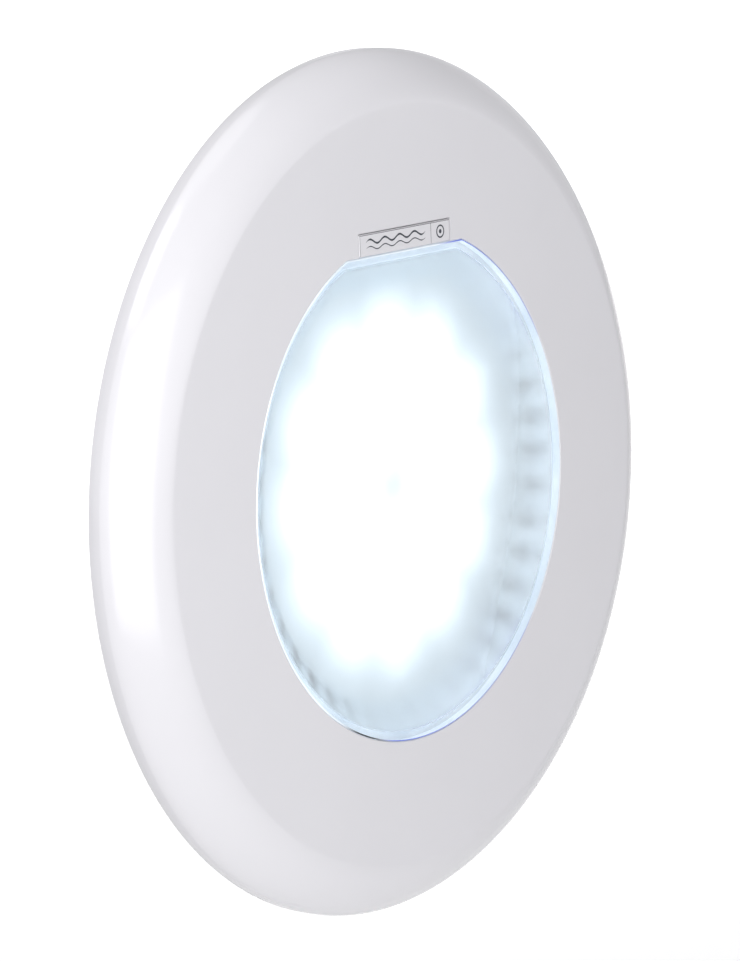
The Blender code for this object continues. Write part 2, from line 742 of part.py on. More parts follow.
def wall_bracket(material):
    """Plate with bayonet hooks, four screwed ears, drain holes and the conduit spigot."""
    angles = bracket_angles()
    outline = [polar(bracket_reach(a), a) for a in angles]

    def ring(radius):
        return [polar(radius, a) for a in angles]

    groove = SPIGOT_RADIUS - 0.0014
    loops = [
        (ring(SPIGOT_BORE), BRACKET_FRONT_Y),
        (outline, BRACKET_FRONT_Y),
        (outline, 0.0),
        (ring(SPIGOT_RADIUS), 0.0),
        (ring(SPIGOT_RADIUS), SEAL_GROOVE[0]),
        (ring(groove), SEAL_GROOVE[0]),
        (ring(groove), SEAL_GROOVE[1]),
        (ring(SPIGOT_RADIUS), SEAL_GROOVE[1]),
        (ring(SPIGOT_RADIUS - 0.0008), SPIGOT_LENGTH),
        (ring(SPIGOT_BORE), SPIGOT_LENGTH),
    ]
    bracket = skin("wall_bracket", loops, material, ring=True)

    root = BRACKET_FRONT_Y + OVERSHOOT
    inner, outer = HOOK_WALL_RADII
    walls, stops, lips = [], [], []
    for i in range(LUG_COUNT):
        middle = FIRST_LUG + 2 * math.pi * i / LUG_COUNT
        first, last = middle - HOOK_SPAN / 2, middle + HOOK_SPAN / 2
        walls.append((inner, outer, first, last, (HOOK_LIP_Y[0], root)))
        stop = (first - HOOK_STOP_SPAN, first + 0.002)
        stops.append((HOOK_LIP_RADIUS, outer - 0.0002, *stop, (HOOK_LIP_Y[0] + 0.0002, root)))
        lips.append((HOOK_LIP_RADIUS + 0.0001, outer - 0.0008, first + 0.001, last - 0.001, HOOK_LIP_Y))
    join(bracket, sectors("hook_walls", walls, steps=7))
    join(bracket, sectors("hook_stops", stops, steps=1))
    join(bracket, sectors("hook_lips", lips, steps=7))
    through = (BRACKET_FRONT_Y - OVERSHOOT, OVERSHOOT)
    ears = [polar(EAR_CIRCLE, a) for a in EAR_ANGLES]
    cut(bracket, pins("ear_holes", ears, 0.0025, through))
    turn = 2 * math.pi / DRAIN_COUNT
    drains = [polar(DRAIN_CIRCLE, turn * (i + 0.5)) for i in range(DRAIN_COUNT)]
    cut(bracket, pins("drain_holes", drains, DRAIN_RADIUS, through))
    return bracket


def spigot_seal(material):
    """The O-ring that centres the spigot in the conduit."""
    middle, thick, steps = SPIGOT_RADIUS + 0.0005, 0.0015, 6
    centre_y = sum(SEAL_GROOVE) / 2
    section = [
        (middle + thick * math.cos(2 * math.pi * i / steps), centre_y + thick * math.sin(2 * math.pi * i / steps))
        for i in range(steps)
    ]
    return turned("spigot_seal", section, material, steps=36)


def detent_leaf(material):
    """Curved leaf spring on the bracket that rubs on the housing, so the lamp stays turned home."""
    inner, outer = HOUSING_RADIUS + 0.0005, HOUSING_RADIUS + 0.0011
    first, last, steps = math.radians(138), math.radians(162), 10
    angles = [first + (last - first) * i / steps for i in range(steps + 1)]
    foot = [polar(outer + 0.0040, a) for a in angles]
    leaf_in = [polar(inner, a) for a in angles]
    leaf_out = [polar(outer, a) for a in angles]
    top, bottom = level(0.0175), BRACKET_FRONT_Y - 0.0003
    mesh = bmesh.new()
    columns = [
        (leaf_in, top),
        (leaf_out, top),
        (leaf_out, bottom - 0.0006),
        (foot, bottom - 0.0006),
        (foot, bottom),
        (leaf_in, bottom),
    ]
    rows = [[mesh.verts.new((x, y, z)) for x, z in outline] for outline, y in columns]
    for one, two in zip(rows, rows[1:] + rows[:1]):
        for k in range(steps):
            mesh.faces.new((one[k], one[k + 1], two[k + 1], two[k]))
    mesh.faces.new([row[0] for row in rows])
    mesh.faces.new([row[-1] for row in rows])
    return finish_object("detent_leaf", mesh, material)


def wall_fixings(steel, nylon):
    """Pan-head screws through the bracket's ears, each in its plug in the wall."""
    for i, angle in enumerate(EAR_ANGLES):
        centre = polar(EAR_CIRCLE, angle)
        head = (0.0042, 0.0026)
        head_y = BRACKET_FRONT_Y - head[1] - 0.0003
        screw(f"wall_screw_{i + 1}", centre, head_y, 0.0230, head, 0.0020, steel, socket_radius=0.0015)
        section = [
            (0.0023, 0.0022),
            (0.0042, 0.0022),
            (0.0042, 0.0029),
            (0.0034, 0.0032),
            (0.0034, 0.0180),
            (0.0029, 0.0250),
            (0.0023, 0.0250),
        ]
        tube_at(f"wall_plug_{i + 1}", centre, section, nylon)


# ================================================================= the whole light
def main():
    clear_scene()
    stuff = make_materials()
    faceplate(stuff["white_abs"])
    badge_plate(stuff["white_abs"])
    lock_screw(stuff["steel"])
    lens(stuff["lens_pc"])
    lens_gasket(stuff["rubber"])
    clamp_ring(stuff["grey_abs"])
    clamp_screws(stuff["steel"])
    lock_insert(stuff["brass"])
    reflector(stuff["reflector_pc"])
    led_board(stuff["board_white"])
    driver_board(stuff["board_green"])
    board_screws(stuff["steel"])
    led_lead("led_lead_positive", 1, stuff["lead_red"])
    led_lead("led_lead_negative", -1, stuff["lead_black"])
    rear_housing(stuff["grey_abs"])
    grip_clips(stuff["steel"])
    gland_washer(stuff["rubber"])
    gland_body(stuff["nylon_black"])
    gland_lock_nut(stuff["nylon_black"])
    gland_seal(stuff["rubber"])
    gland_nut(stuff["nylon_black"])
    wall_bracket(stuff["grey_abs"])
    spigot_seal(stuff["rubber"])
    detent_leaf(stuff["steel"])
    wall_fixings(stuff["steel"], stuff["nylon_grey"])


main()
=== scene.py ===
"""Looks of a surface-mounted underwater pool light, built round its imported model.

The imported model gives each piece's place.  This script gives the pieces in view their finished
shapes and every piece its material, and adds a pale studio.  The light looks along -Y.
"""

import json
import logging
import math
from collections.abc import Sequence
from dataclasses import dataclass, field
from enum import Enum
from functools import cache

import bmesh
import bpy
from bpy.types import Material, Node, NodeSocket, NodeTree, Object
from mathutils import Matrix, Vector

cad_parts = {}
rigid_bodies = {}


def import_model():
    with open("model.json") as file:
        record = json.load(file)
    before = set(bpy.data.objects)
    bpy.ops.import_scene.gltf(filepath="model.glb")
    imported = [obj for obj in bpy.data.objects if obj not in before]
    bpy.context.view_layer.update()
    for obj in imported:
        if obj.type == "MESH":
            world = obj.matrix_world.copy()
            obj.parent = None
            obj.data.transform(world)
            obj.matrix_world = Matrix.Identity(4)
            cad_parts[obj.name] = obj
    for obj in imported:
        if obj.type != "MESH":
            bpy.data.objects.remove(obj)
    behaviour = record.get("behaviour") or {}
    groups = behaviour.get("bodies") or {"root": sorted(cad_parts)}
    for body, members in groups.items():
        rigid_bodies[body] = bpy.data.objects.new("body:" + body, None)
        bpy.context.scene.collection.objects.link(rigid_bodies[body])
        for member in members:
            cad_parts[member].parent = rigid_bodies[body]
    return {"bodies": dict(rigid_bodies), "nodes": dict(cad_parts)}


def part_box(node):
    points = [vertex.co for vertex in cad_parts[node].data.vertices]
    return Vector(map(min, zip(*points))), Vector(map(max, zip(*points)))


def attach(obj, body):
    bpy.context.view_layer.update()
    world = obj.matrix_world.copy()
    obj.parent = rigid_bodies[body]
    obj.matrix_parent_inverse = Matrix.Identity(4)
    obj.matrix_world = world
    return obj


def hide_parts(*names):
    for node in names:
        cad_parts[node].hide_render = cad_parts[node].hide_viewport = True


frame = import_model()

LOG = logging.getLogger("pool_light")
MM = 0.001
CREASE = 32.0
PC_IOR = 1.585
BMesh = bmesh.types.BMesh
Point = tuple[float, float]
Loop = tuple[list[Point], float]
Colour = tuple[float, float, float, float]


# ============================================================================ colour and nodes
def linear(hex_code: str) -> Colour:
    """Turn an sRGB hex colour into linear light.

    Args:
        hex_code: Six hex digits, such as "E8E8EA".

    Returns:
        Red, green, blue and an alpha of one.
    """
    channels = [int(hex_code[i : i + 2], 16) / 255 for i in (0, 2, 4)]
    red, green, blue = (c / 12.92 if c <= 0.04045 else ((c + 0.055) / 1.055) ** 2.4 for c in channels)
    return red, green, blue, 1.0


def add_node(tree: NodeTree, kind: str, inputs: dict[str | int, object] | None = None, **settings: object) -> Node:
    """Add a node to a tree with its settings, values and links.

    Args:
        tree: The shader or geometry tree.
        kind: The node's type name.
        inputs: Input socket name or number to a value, or to the output socket it's linked from.
        **settings: Properties of the node itself.

    Returns:
        The new node.
    """
    node = tree.nodes.new(kind)
    for name, value in settings.items():
        setattr(node, name, value)
    for name, value in (inputs or {}).items():
        feed(tree, node.inputs[name], value)
    return node


def feed(tree: NodeTree, socket: NodeSocket, value: object) -> None:
    """Link an input socket from another socket, or give it a value."""
    if isinstance(value, NodeSocket):
        tree.links.new(value, socket)
    else:
        socket.default_value = value


def maths(tree: NodeTree, operation: str, *values: float | NodeSocket) -> NodeSocket:
    """Give the result of a Math node."""
    return add_node(tree, "ShaderNodeMath", dict(enumerate(values)), operation=operation).outputs[0]


def blend(tree: NodeTree, share: NodeSocket, one: Colour | NodeSocket, two: Colour) -> NodeSocket:
    """Mix two colours by a share."""
    return add_node(tree, "ShaderNodeMix", {0: share, 6: one, 7: two}, data_type="RGBA").outputs[2]


def noise(tree: NodeTree, place: NodeSocket, scale: float, detail: float = 2.0) -> NodeSocket:
    """Give a noise from nought to one."""
    return add_node(tree, "ShaderNodeTexNoise", {"Vector": place, "Scale": scale, "Detail": detail}).outputs["Fac"]


def ranged(
    tree: NodeTree, value: NodeSocket, ends: Point, starts: Point = (0.0, 1.0), curve: str = "LINEAR"
) -> NodeSocket:
    """Map the range starts to the range ends."""
    inputs = {0: value, 1: starts[0], 2: starts[1], 3: ends[0], 4: ends[1]}
    return add_node(tree, "ShaderNodeMapRange", inputs, interpolation_type=curve).outputs[0]


def round_axis(tree: NodeTree, place: NodeSocket) -> tuple[NodeSocket, NodeSocket, NodeSocket]:
    """Give the distance from the light's axis, the direction round it and the height above it."""
    split = add_node(tree, "ShaderNodeSeparateXYZ", {0: place}).outputs
    flat = add_node(tree, "ShaderNodeCombineXYZ", {0: split[0], 1: split[2]})
    radius = add_node(tree, "ShaderNodeVectorMath", {0: flat.outputs[0]}, operation="LENGTH").outputs[1]
    return radius, maths(tree, "ARCTAN2", split[2], split[0]), split[2]


# ============================================================================ finishes
@dataclass(frozen=True)
class Look:
    """What every material has.

    Attributes:
        name: Material and process in plain words.
    """

    name: str

    def inputs(self, tree: NodeTree, place: NodeSocket) -> dict[str, object]:
        """Give the shader's inputs.

        Args:
            tree: The material's tree.
            place: Object coordinates.

        Returns:
            Input name to its value, or to the socket it's linked from.
        """
        raise NotImplementedError

    def build(self) -> Material:
        """Make the material, which reads Object coordinates."""
        material = bpy.data.materials.new(self.name)
        material.use_nodes = True
        tree = material.node_tree
        place = add_node(tree, "ShaderNodeTexCoord").outputs["Object"]
        for name, value in self.inputs(tree, place).items():
            feed(tree, tree.nodes["Principled BSDF"].inputs[name], value)
        return material


@cache
def dressed(look: Look) -> Material:
    """Make a look's material the first time, and hand out the same one after that."""
    return look.build()


class Grain(Enum):
    """How a surface was made: the pattern of its fine relief along X, Y and Z."""

    POLISHED_MOULD = (1.0, 1.0, 1.0, 1.0)
    SPARKED_MOULD = (1.0, 1.0, 1.0, 4.0)
    TURNED = (0.15, 1.0, 0.15, 4.0)
    ROLLED = (1.0, 0.08, 1.0, 4.0)


@dataclass(frozen=True)
class Finish(Look):
    """One opaque finish: a base colour, its slight unevenness and its fine relief.

    Attributes:
        colour: sRGB hex of the surface.
        shade: sRGB hex that the colour drifts towards in patches.
        roughness: Middle roughness.
        spread: How far the roughness drifts to each side.
        metallic: One for a bare metal.
        ior: Index of refraction of a plastic or rubber.
        grain: The process that made the surface.
        grain_mm: Size of one bump or scratch.
        relief_mm: Height of the relief.
    """

    colour: str
    shade: str
    roughness: float
    spread: float = 0.04
    metallic: float = 0.0
    ior: float = 1.5
    grain: Grain = Grain.SPARKED_MOULD
    grain_mm: float = 0.5
    relief_mm: float = 0.01

    def inputs(self, tree: NodeTree, place: NodeSocket) -> dict[str, object]:
        """Give the shader's inputs: patches of colour, and a grain that moves roughness and relief."""
        *stretch, detail = self.grain.value
        scale = tuple(share / (self.grain_mm * MM) for share in stretch)
        sized = add_node(tree, "ShaderNodeMapping", {"Vector": place, "Scale": scale}).outputs[0]
        grain = noise(tree, sized, 1.0, detail)
        relief = {"Height": grain, "Strength": 0.6, "Distance": self.relief_mm * MM}
        return {
            "Base Color": blend(tree, noise(tree, place, 22.0, 3.0), linear(self.colour), linear(self.shade)),
            "Roughness": ranged(tree, grain, (self.roughness - self.spread, self.roughness + self.spread)),
            "Normal": add_node(tree, "ShaderNodeBump", relief).outputs[0],
            "Metallic": self.metallic,
            "IOR": self.ior,
        }

    def build(self) -> Material:
        """Make the material, and colour it in plain views too."""
        material = super().build()
        material.diffuse_color = linear(self.colour)
        return material


# High-gloss white ABS from a polished mould: a bright, even body with a faint orange-peel ripple
# that softens the reflections of the lamps a little.
WHITE_ABS = Finish(
    "white_abs_polished_mould", "DAD9DD", "D6D5D9", 0.17, 0.03, ior=1.52,
    grain=Grain.POLISHED_MOULD, grain_mm=2.6, relief_mm=0.002,
)
# The same resin on the back of the cover, where the mould was left spark-eroded and matt.
WHITE_ABS_BACK = Finish("white_abs_sparked_mould", "DAD9DB", "D2D1D4", 0.48, 0.05, ior=1.52, grain_mm=0.45)
# Grey ABS of the sealed cup and the wall bracket: satin, with the fine pits of spark erosion.
GREY_ABS = Finish("grey_abs_sparked_mould", "A9ACAF", "9EA1A5", 0.46, 0.06, grain_mm=0.5, relief_mm=0.02)
BRACKET_ABS = Finish("bracket_abs_sparked_mould", "B9BBBD", "AEB0B3", 0.5, 0.06, grain_mm=0.6, relief_mm=0.025)
# Matt black rubber of the seals, which swallows the light in the joints.
EPDM = Finish("black_epdm_rubber", "1D1D1E", "262627", 0.72, 0.08, ior=1.52, grain_mm=0.35, relief_mm=0.02)
# Bright stainless steel, turned: fine rings run round each head, so highlights streak across them.
STAINLESS = Finish(
    "turned_stainless_steel", "C8C7C4", "B9B8B6", 0.24, 0.08, 1.0, grain=Grain.TURNED, grain_mm=0.25, relief_mm=0.006
)
# Rolled strip of the clips and the detent: its scratches run one way, so it shines in a band.
SPRING_STEEL = Finish(
    "rolled_spring_steel", "BDBDBA", "A9A9A8", 0.3, 0.08, 1.0, grain=Grain.ROLLED, grain_mm=0.2, relief_mm=0.006
)
BRASS = Finish("turned_brass", "C9A35A", "B88F48", 0.28, 0.08, 1.0, grain=Grain.TURNED, grain_mm=0.25)
# Nylons of the gland and the plugs: dull, with the flow of the mould in them.
BLACK_NYLON = Finish("black_glass_filled_nylon", "1B1C1E", "28292B", 0.5, 0.08, ior=1.53, grain_mm=0.4, relief_mm=0.02)
GREY_NYLON = Finish("grey_nylon", "8B8F93", "7E8287", 0.55, 0.06, ior=1.53, grain_mm=0.5, relief_mm=0.02)
GREEN_MASK = Finish("green_solder_mask", "1F5A34", "17482A", 0.35, 0.08, grain_mm=0.3)
RED_PVC = Finish("red_wire_insulation", "B3201B", "9E1A16", 0.45, 0.05, grain_mm=0.4)
BLACK_PVC = Finish("black_wire_insulation", "1C1C1D", "262628", 0.45, 0.05, grain_mm=0.4)
# Dark ink of the badge's print, which also draws a painted shadow line along the badge's top edge.
PRINT_INK_AND_GAP_SHADOW = Finish("dark_pad_print_ink", "2C313B", "353B46", 0.4, 0.04, grain_mm=0.15, relief_mm=0.003)


@dataclass(frozen=True)
class ClearPolycarbonate(Look):
    """Moulded clear polycarbonate, a little milky; the glow that the diodes behind it give it is painted on as a faint
    even emission.

    Attributes:
        roughness: Blur of what's seen through it.
        tint: sRGB hex of the light that it lets through.
        clarity: Share of light that passes straight on.
        haze_glow: sRGB hex of the painted glow that stands for the diode light its milkiness scatters.
        haze_glow_strength: Brightness of that painted glow at each surface.
    """

    roughness: float
    tint: str = "F6FBFF"
    clarity: float = 0.92
    haze_glow: str = "E6EFF5"
    haze_glow_strength: float = 0.06

    def inputs(self, tree: NodeTree, place: NodeSocket) -> dict[str, object]:
        """Give the shader's inputs: refraction, blurred unevenly, and a faint painted glow."""
        cloud = noise(tree, place, 90.0)
        return {
            "Roughness": ranged(tree, cloud, (self.roughness * 0.8, self.roughness * 1.2)),
            "Base Color": linear(self.tint),
            "Transmission Weight": self.clarity,
            "IOR": PC_IOR,
            "Emission Color": linear(self.haze_glow),
            "Emission Strength": self.haze_glow_strength,
        }


@dataclass(frozen=True)
class LensEdge(Look):
    """The edge of the moulded lens, with a painted glow, pale or violet-blue, that stands for the diode light it pipes
    out; a dark stretch is painted shadow.

    Attributes:
        pale: sRGB hex of the edge where it glows white.
        strength: Brightness of the edge's painted glow.
        stretches: First and last direction in degrees of each stretch of painted light or painted shadow, and its hex.
        fade: Degrees over which a stretch fades at its ends.
    """

    pale: str
    strength: float
    stretches: tuple[tuple[float, float, str], ...] = ()
    fade: float = 9.0

    def inputs(self, tree: NodeTree, place: NodeSocket) -> dict[str, object]:
        """Give the shader's inputs: a streaky pale painted glow, with each stretch of painted light or painted shadow
        laid over it.
        """
        angle = round_axis(tree, place)[1]
        colour = blend(tree, noise(tree, place, 60.0), linear(self.pale), linear("F2F7FB"))
        reach = math.radians(self.fade) / 2
        for first, last, hex_code in self.stretches:
            middle, half = math.radians(first + last) / 2, math.radians(last - first) / 2
            far = maths(tree, "ABSOLUTE", maths(tree, "SUBTRACT", angle, middle))
            share = ranged(tree, far, (1.0, 0.0), (half - reach, half + reach), "SMOOTHSTEP")
            colour = blend(tree, share, colour, linear(hex_code))
        return {
            "Base Color": colour,
            "Emission Color": colour,
            "Emission Strength": self.strength,
            "Roughness": 0.25,
            "IOR": PC_IOR,
        }


# Painted light: the chamfer glows violet-blue in two stretches where it faces the viewer over the round side, and a
# dark stretch at its lowest part is painted shadow of the cover.
LENS_CHAMFER = LensEdge(
    "polycarbonate_chamfer",
    "D3DEE8",
    0.22,
    ((30.0, 74.0, "6C7BD4"), (-105.0, -42.0, "6C7BD4"), (-119.0, -106.0, "14171F")),
)
# The side wall carries an even painted glow that stands for the diode light it pipes.
LENS_WALL = LensEdge("polycarbonate_light_piping_wall", "C4D1DC", 0.335)
# The outside of the lens is polished and its inside is etched, which blurs what's behind it.
# Both faces of the lens carry the same faint painted glow.
LENS_PC = ClearPolycarbonate("clear_polycarbonate_polished", 0.05)
LENS_ETCHED_PC = ClearPolycarbonate("clear_polycarbonate_etched", 0.36)


@dataclass(frozen=True)
class LitReflector(Look):
    """White polycarbonate round the diodes, painted to glow as if lit by them, with painted shade in spots between its
    teeth.

    Attributes:
        count: Teeth round the ring.
        circle: Distance of the painted shade spots from the axis.
        reach: Radial and sideways reach of one painted shade spot, in metres.
        lit: sRGB hex of the plastic where it carries painted light.
        shaded: sRGB hex of the painted shade beside the teeth.
        middle: Height of the middle of the band where the painted shade is darkest, in metres.
        stretch: Distance from that middle where the painted shade begins to fade, and where it has faded.
        faded: Share of the painted shade that's left there.
        strength: Brightness of the painted glow that the plastic carries.
    """

    count: int
    circle: float = 0.0750
    reach: Point = (0.0036, 0.0034)
    lit: str = "B9C5CC"
    shaded: str = "0F1820"
    middle: float = -0.016
    stretch: Point = (0.038, 0.056)
    faded: float = 0.15
    strength: float = 0.43

    def inputs(self, tree: NodeTree, place: NodeSocket) -> dict[str, object]:
        """Give the shader's inputs: painted glow, with spots of painted shade that follow the ring."""
        radius, angle, height = round_axis(tree, place)
        step = 2 * math.pi / self.count
        folded = maths(tree, "WRAP", angle, -step / 2, step / 2)
        side = maths(tree, "MULTIPLY", folded, self.circle / self.reach[1])
        out = maths(tree, "MULTIPLY_ADD", radius, 1 / self.reach[0], -self.circle / self.reach[0])
        total = maths(tree, "ADD", maths(tree, "MULTIPLY", out, out), maths(tree, "MULTIPLY", side, side))
        # Painted shade: a dark spot between each pair of teeth, weaker away from a band of heights.
        painted_shade = maths(tree, "EXPONENT", maths(tree, "MULTIPLY", total, -1.0))
        off = maths(tree, "ABSOLUTE", maths(tree, "ADD", height, -self.middle))
        depth = ranged(tree, off, (1.0, self.faded), self.stretch)
        colour = blend(tree, maths(tree, "MULTIPLY", painted_shade, depth), linear(self.lit), linear(self.shaded))
        return {
            "Base Color": colour,
            "Emission Color": colour,
            "Emission Strength": self.strength,
            "Roughness": 0.42,
            "IOR": PC_IOR,
        }


@dataclass(frozen=True)
class DiodeGlow(Look):
    """A white piece with the light of the diodes on it painted as emission: brightest at each, and pale blue between.

    Attributes:
        rings: Count and circle radius in metres of each ring of diodes.
        reach: Radius in metres over which a diode's painted pool of light falls away on the board.
        peak: Emission at a diode.
        floor: Emission far from any diode.
    """

    rings: tuple[tuple[int, float], ...] = ((12, 0.0445), (6, 0.0215))
    reach: float = 0.0150
    peak: float = 1.9
    floor: float = 0.34

    def inputs(self, tree: NodeTree, place: NodeSocket) -> dict[str, object]:
        """Give the shader's inputs: a painted pool of light, an emission that falls away round the diodes of each ring.
        """
        radius, angle, _ = round_axis(tree, place)
        square = maths(tree, "MULTIPLY", radius, radius)
        lights = []
        for count, circle_radius in self.rings:
            step = 2 * math.pi / count
            cosine = maths(tree, "COSINE", maths(tree, "WRAP", angle, -step / 2, step / 2))
            double = maths(tree, "MULTIPLY", maths(tree, "MULTIPLY", radius, cosine), -2 * circle_radius)
            gap = maths(tree, "ADD", maths(tree, "ADD", square, double), circle_radius**2)
            lights.append(maths(tree, "EXPONENT", maths(tree, "MULTIPLY", gap, -1 / self.reach**2)))
        return {
            "Base Color": linear("B4BBBE"),
            "Roughness": 0.5,
            "Emission Color": linear("E8F3F8"),
            "Emission Strength": maths(tree, "MULTIPLY_ADD", maths(tree, "ADD", *lights), self.peak, self.floor),
        }


# The board's white face, and the white nylon of the screws in it, both with the diodes' light painted on as emission.
BOARD_GLOW = DiodeGlow("lit_white_solder_mask")
LIT_NYLON = DiodeGlow("lit_white_nylon")


@dataclass(frozen=True)
class DiodeDome(Look):
    """The clear silicone dome of a lit diode, which is far brighter than anything round it."""

    strength: float = 2.4

    def inputs(self, tree: NodeTree, place: NodeSocket) -> dict[str, object]:
        """Give the shader's inputs: a strong light with the phosphor's grain."""
        phosphor = noise(tree, place, 900.0)
        return {
            "Base Color": linear("FFFFFF"),
            "Roughness": 0.2,
            "Emission Color": linear("F4FAFF"),
            "Emission Strength": ranged(tree, phosphor, (self.strength * 0.9, self.strength * 1.1)),
        }


DIODE_DOME = DiodeDome("lit_diode_silicone_dome")


# ============================================================================ outlines and lofts
@dataclass(frozen=True)
class DeeShape:
    """A circle cut flat near its top, with rounded corners: the outline of the lens.

    Attributes:
        radius: Radius of the round part.
        flat: Height of the flat above the axis.
        corner: Radius of the two corners.
        steps: Points along the round part, along each corner and along the flat.
    """

    radius: float = 0.0814
    flat: float = 0.0754
    corner: float = 0.0040
    steps: tuple[int, int, int] = (200, 8, 36)

    def points(self, offset: float = 0.0) -> list[Point]:
        """Give the outline's (x, z) points, made larger by offset all round."""
        radius, flat = self.radius + offset, self.flat + offset
        fillet = max(self.corner + offset, 0.0008)
        centre_z = flat - fillet
        centre_x = math.sqrt((radius - fillet) ** 2 - centre_z**2)
        turn, arc, corner, straight = math.atan2(centre_z, centre_x), *self.steps
        found = [polar(radius, turn - (math.pi + 2 * turn) * i / arc) for i in range(arc + 1)]
        for i in range(1, corner + 1):
            angle = math.pi - turn - (math.pi / 2 - turn) * i / corner
            found.append(polar(fillet, angle, (-centre_x, centre_z)))
        found += [(centre_x * (2 * i / straight - 1), flat) for i in range(1, straight + 1)]
        for i in range(1, corner):
            angle = math.pi / 2 - (math.pi / 2 - turn) * i / corner
            found.append(polar(fillet, angle, (centre_x, centre_z)))
        return found

    def circle(self, radius: float) -> list[Point]:
        """Give a circle on the same rays as the outline's points, so that the two can be joined."""
        return [polar(radius, math.atan2(z, x)) for x, z in self.points()]


DEE = DeeShape()


def polar(radius: float, angle: float, centre: Point = (0.0, 0.0)) -> Point:
    """Give the (x, z) of a point from its distance and direction."""
    return centre[0] + radius * math.cos(angle), centre[1] + radius * math.sin(angle)


def circle(radius: float, steps: int, centre: Point = (0.0, 0.0)) -> list[Point]:
    """Give a circle's (x, z) points."""
    return [polar(radius, 2 * math.pi / steps * i, centre) for i in range(steps)]


def hexagon(corner: float, steps: int) -> list[Point]:
    """Give a hexagon whose sharp corners are worn round, as (x, z) points."""
    points = []
    for i in range(steps):
        angle = 2 * math.pi * i / steps
        side = corner * math.cos(math.pi / 6) / math.cos(angle % (math.pi / 3) - math.pi / 6)
        points.append(polar(min(side, corner * 0.972), angle))
    return points


def soften(section: Sequence[Point], radius: float, steps: int = 4) -> list[Point]:
    """Round the corners of a closed section.

    Args:
        section: The corners, in order.
        radius: Reach of each rounding, kept under half of the edge beside it.
        steps: Points along each rounding.

    Returns:
        The rounded section, with a point at each end of every straight run.
    """
    rounded: list[Point] = []
    for i, corner in enumerate(section):
        here = Vector(corner)
        before = Vector(section[i - 1]) - here
        after = Vector(section[(i + 1) % len(section)]) - here
        reach = min(radius, before.length * 0.45, after.length * 0.45)
        first, last = here + before.normalized() * reach, here + after.normalized() * reach
        for k in range(steps + 1):
            t = k / steps
            rounded.append(tuple(first * (1 - t) ** 2 + here * 2 * t * (1 - t) + last * t**2))
    return rounded


def shrunk(section: Sequence[Point], middle: Vector, distance: float) -> list[Vector]:
    """Give a section with each point moved towards its middle."""
    return [Vector(p) + (middle - Vector(p)).normalized() * distance for p in section]


def rim_curve(start: Point, end: Point, power: float, steps: int) -> list[Point]:
    """Give the soft bevel between a flat face and a skirt, as a quarter of a superellipse.

    Args:
        start: Radius and Y where the flat ends.
        end: Radius and Y where the skirt begins.
        power: Two gives an ellipse, and one a straight chamfer.
        steps: Number of stretches.

    Returns:
        The curve's (radius, y) points.
    """
    found = []
    for i in range(steps + 1):
        angle = math.pi / 2 * i / steps
        out, back = math.sin(angle) ** (2 / power), 1 - math.cos(angle) ** (2 / power)
        found.append((start[0] + (end[0] - start[0]) * out, start[1] + (end[1] - start[1]) * back))
    return found


def link(name: str, data: bpy.types.Mesh) -> Object:
    """Put a mesh in the scene as an object at the origin."""
    made = bpy.data.objects.new(name, data)
    bpy.context.scene.collection.objects.link(made)
    return made


def shade(data: bpy.types.Mesh, crease: float) -> None:
    """Shade a mesh smooth, but for the edges sharper than crease degrees."""
    data.shade_smooth()
    data.set_sharp_from_angle(angle=math.radians(crease))


def to_object(name: str, mesh: BMesh, *looks: Look) -> Object:
    """Make an object of a bmesh, smooth-shaded but for its creases.

    Args:
        name: The piece's name.
        mesh: The shape, which is freed.
        *looks: Its materials, in the order of the faces' numbers.

    Returns:
        The object, at the origin.
    """
    bmesh.ops.recalc_face_normals(mesh, faces=mesh.faces)
    data = bpy.data.meshes.new(name)
    mesh.to_mesh(data)
    mesh.free()
    shade(data, CREASE)
    for look in looks:
        data.materials.append(dressed(look))
    return link(name, data)


def skin(mesh: BMesh, rows: Sequence[Sequence[Sequence[float]]], ring: bool = False) -> list[list[bmesh.types.BMFace]]:
    """Skin rows of places with four-sided faces.

    Args:
        mesh: Where the faces go.
        rows: Closed rows of equally many places.
        ring: Whether the last row joins the first. If not, both ends get a cap.

    Returns:
        The faces between each pair of neighbouring rows.
    """
    made = [[mesh.verts.new(place) for place in row] for row in rows]
    pairs = list(zip(made, made[1:])) + ([(made[-1], made[0])] if ring else [])
    count = len(made[0])
    bands = [
        [mesh.faces.new((one[i], one[(i + 1) % count], two[(i + 1) % count], two[i])) for i in range(count)]
        for one, two in pairs
    ]
    if not ring:
        mesh.faces.new(made[0])
        mesh.faces.new(made[-1])
    return bands


def add_loft(mesh: BMesh, loops: Sequence[Loop], ring: bool = False) -> list[list[bmesh.types.BMFace]]:
    """Skin a stack of outlines, each of (x, z) points and its Y, and give the faces of each step."""
    return skin(mesh, [[(x, y, z) for x, z in outline] for outline, y in loops], ring)


def loft(name: str, loops: Sequence[Loop], *looks: Look, ring: bool = True) -> Object:
    """Make one object by skinning a stack of outlines."""
    mesh = bmesh.new()
    add_loft(mesh, loops, ring)
    return to_object(name, mesh, *looks)


def turned(
    name: str, section: Sequence[Point], *looks: Look, steps: int = 160, centre: Point = (0.0, 0.0), ring: bool = True
) -> Object:
    """Make a turned piece about an axis along Y from its (radius, y) section."""
    return loft(name, [(circle(max(r, 1e-6), steps, centre), y) for r, y in section], *looks, ring=ring)


def pins(name: str, centres: Sequence[Point], radius: float, span: Point, steps: int = 40) -> Object:
    """Make a cutter of equal round pins along Y."""
    mesh = bmesh.new()
    for centre in centres:
        outline = circle(radius, steps, centre)
        add_loft(mesh, [(outline, span[0]), (outline, span[1])])
    return to_object(name, mesh)


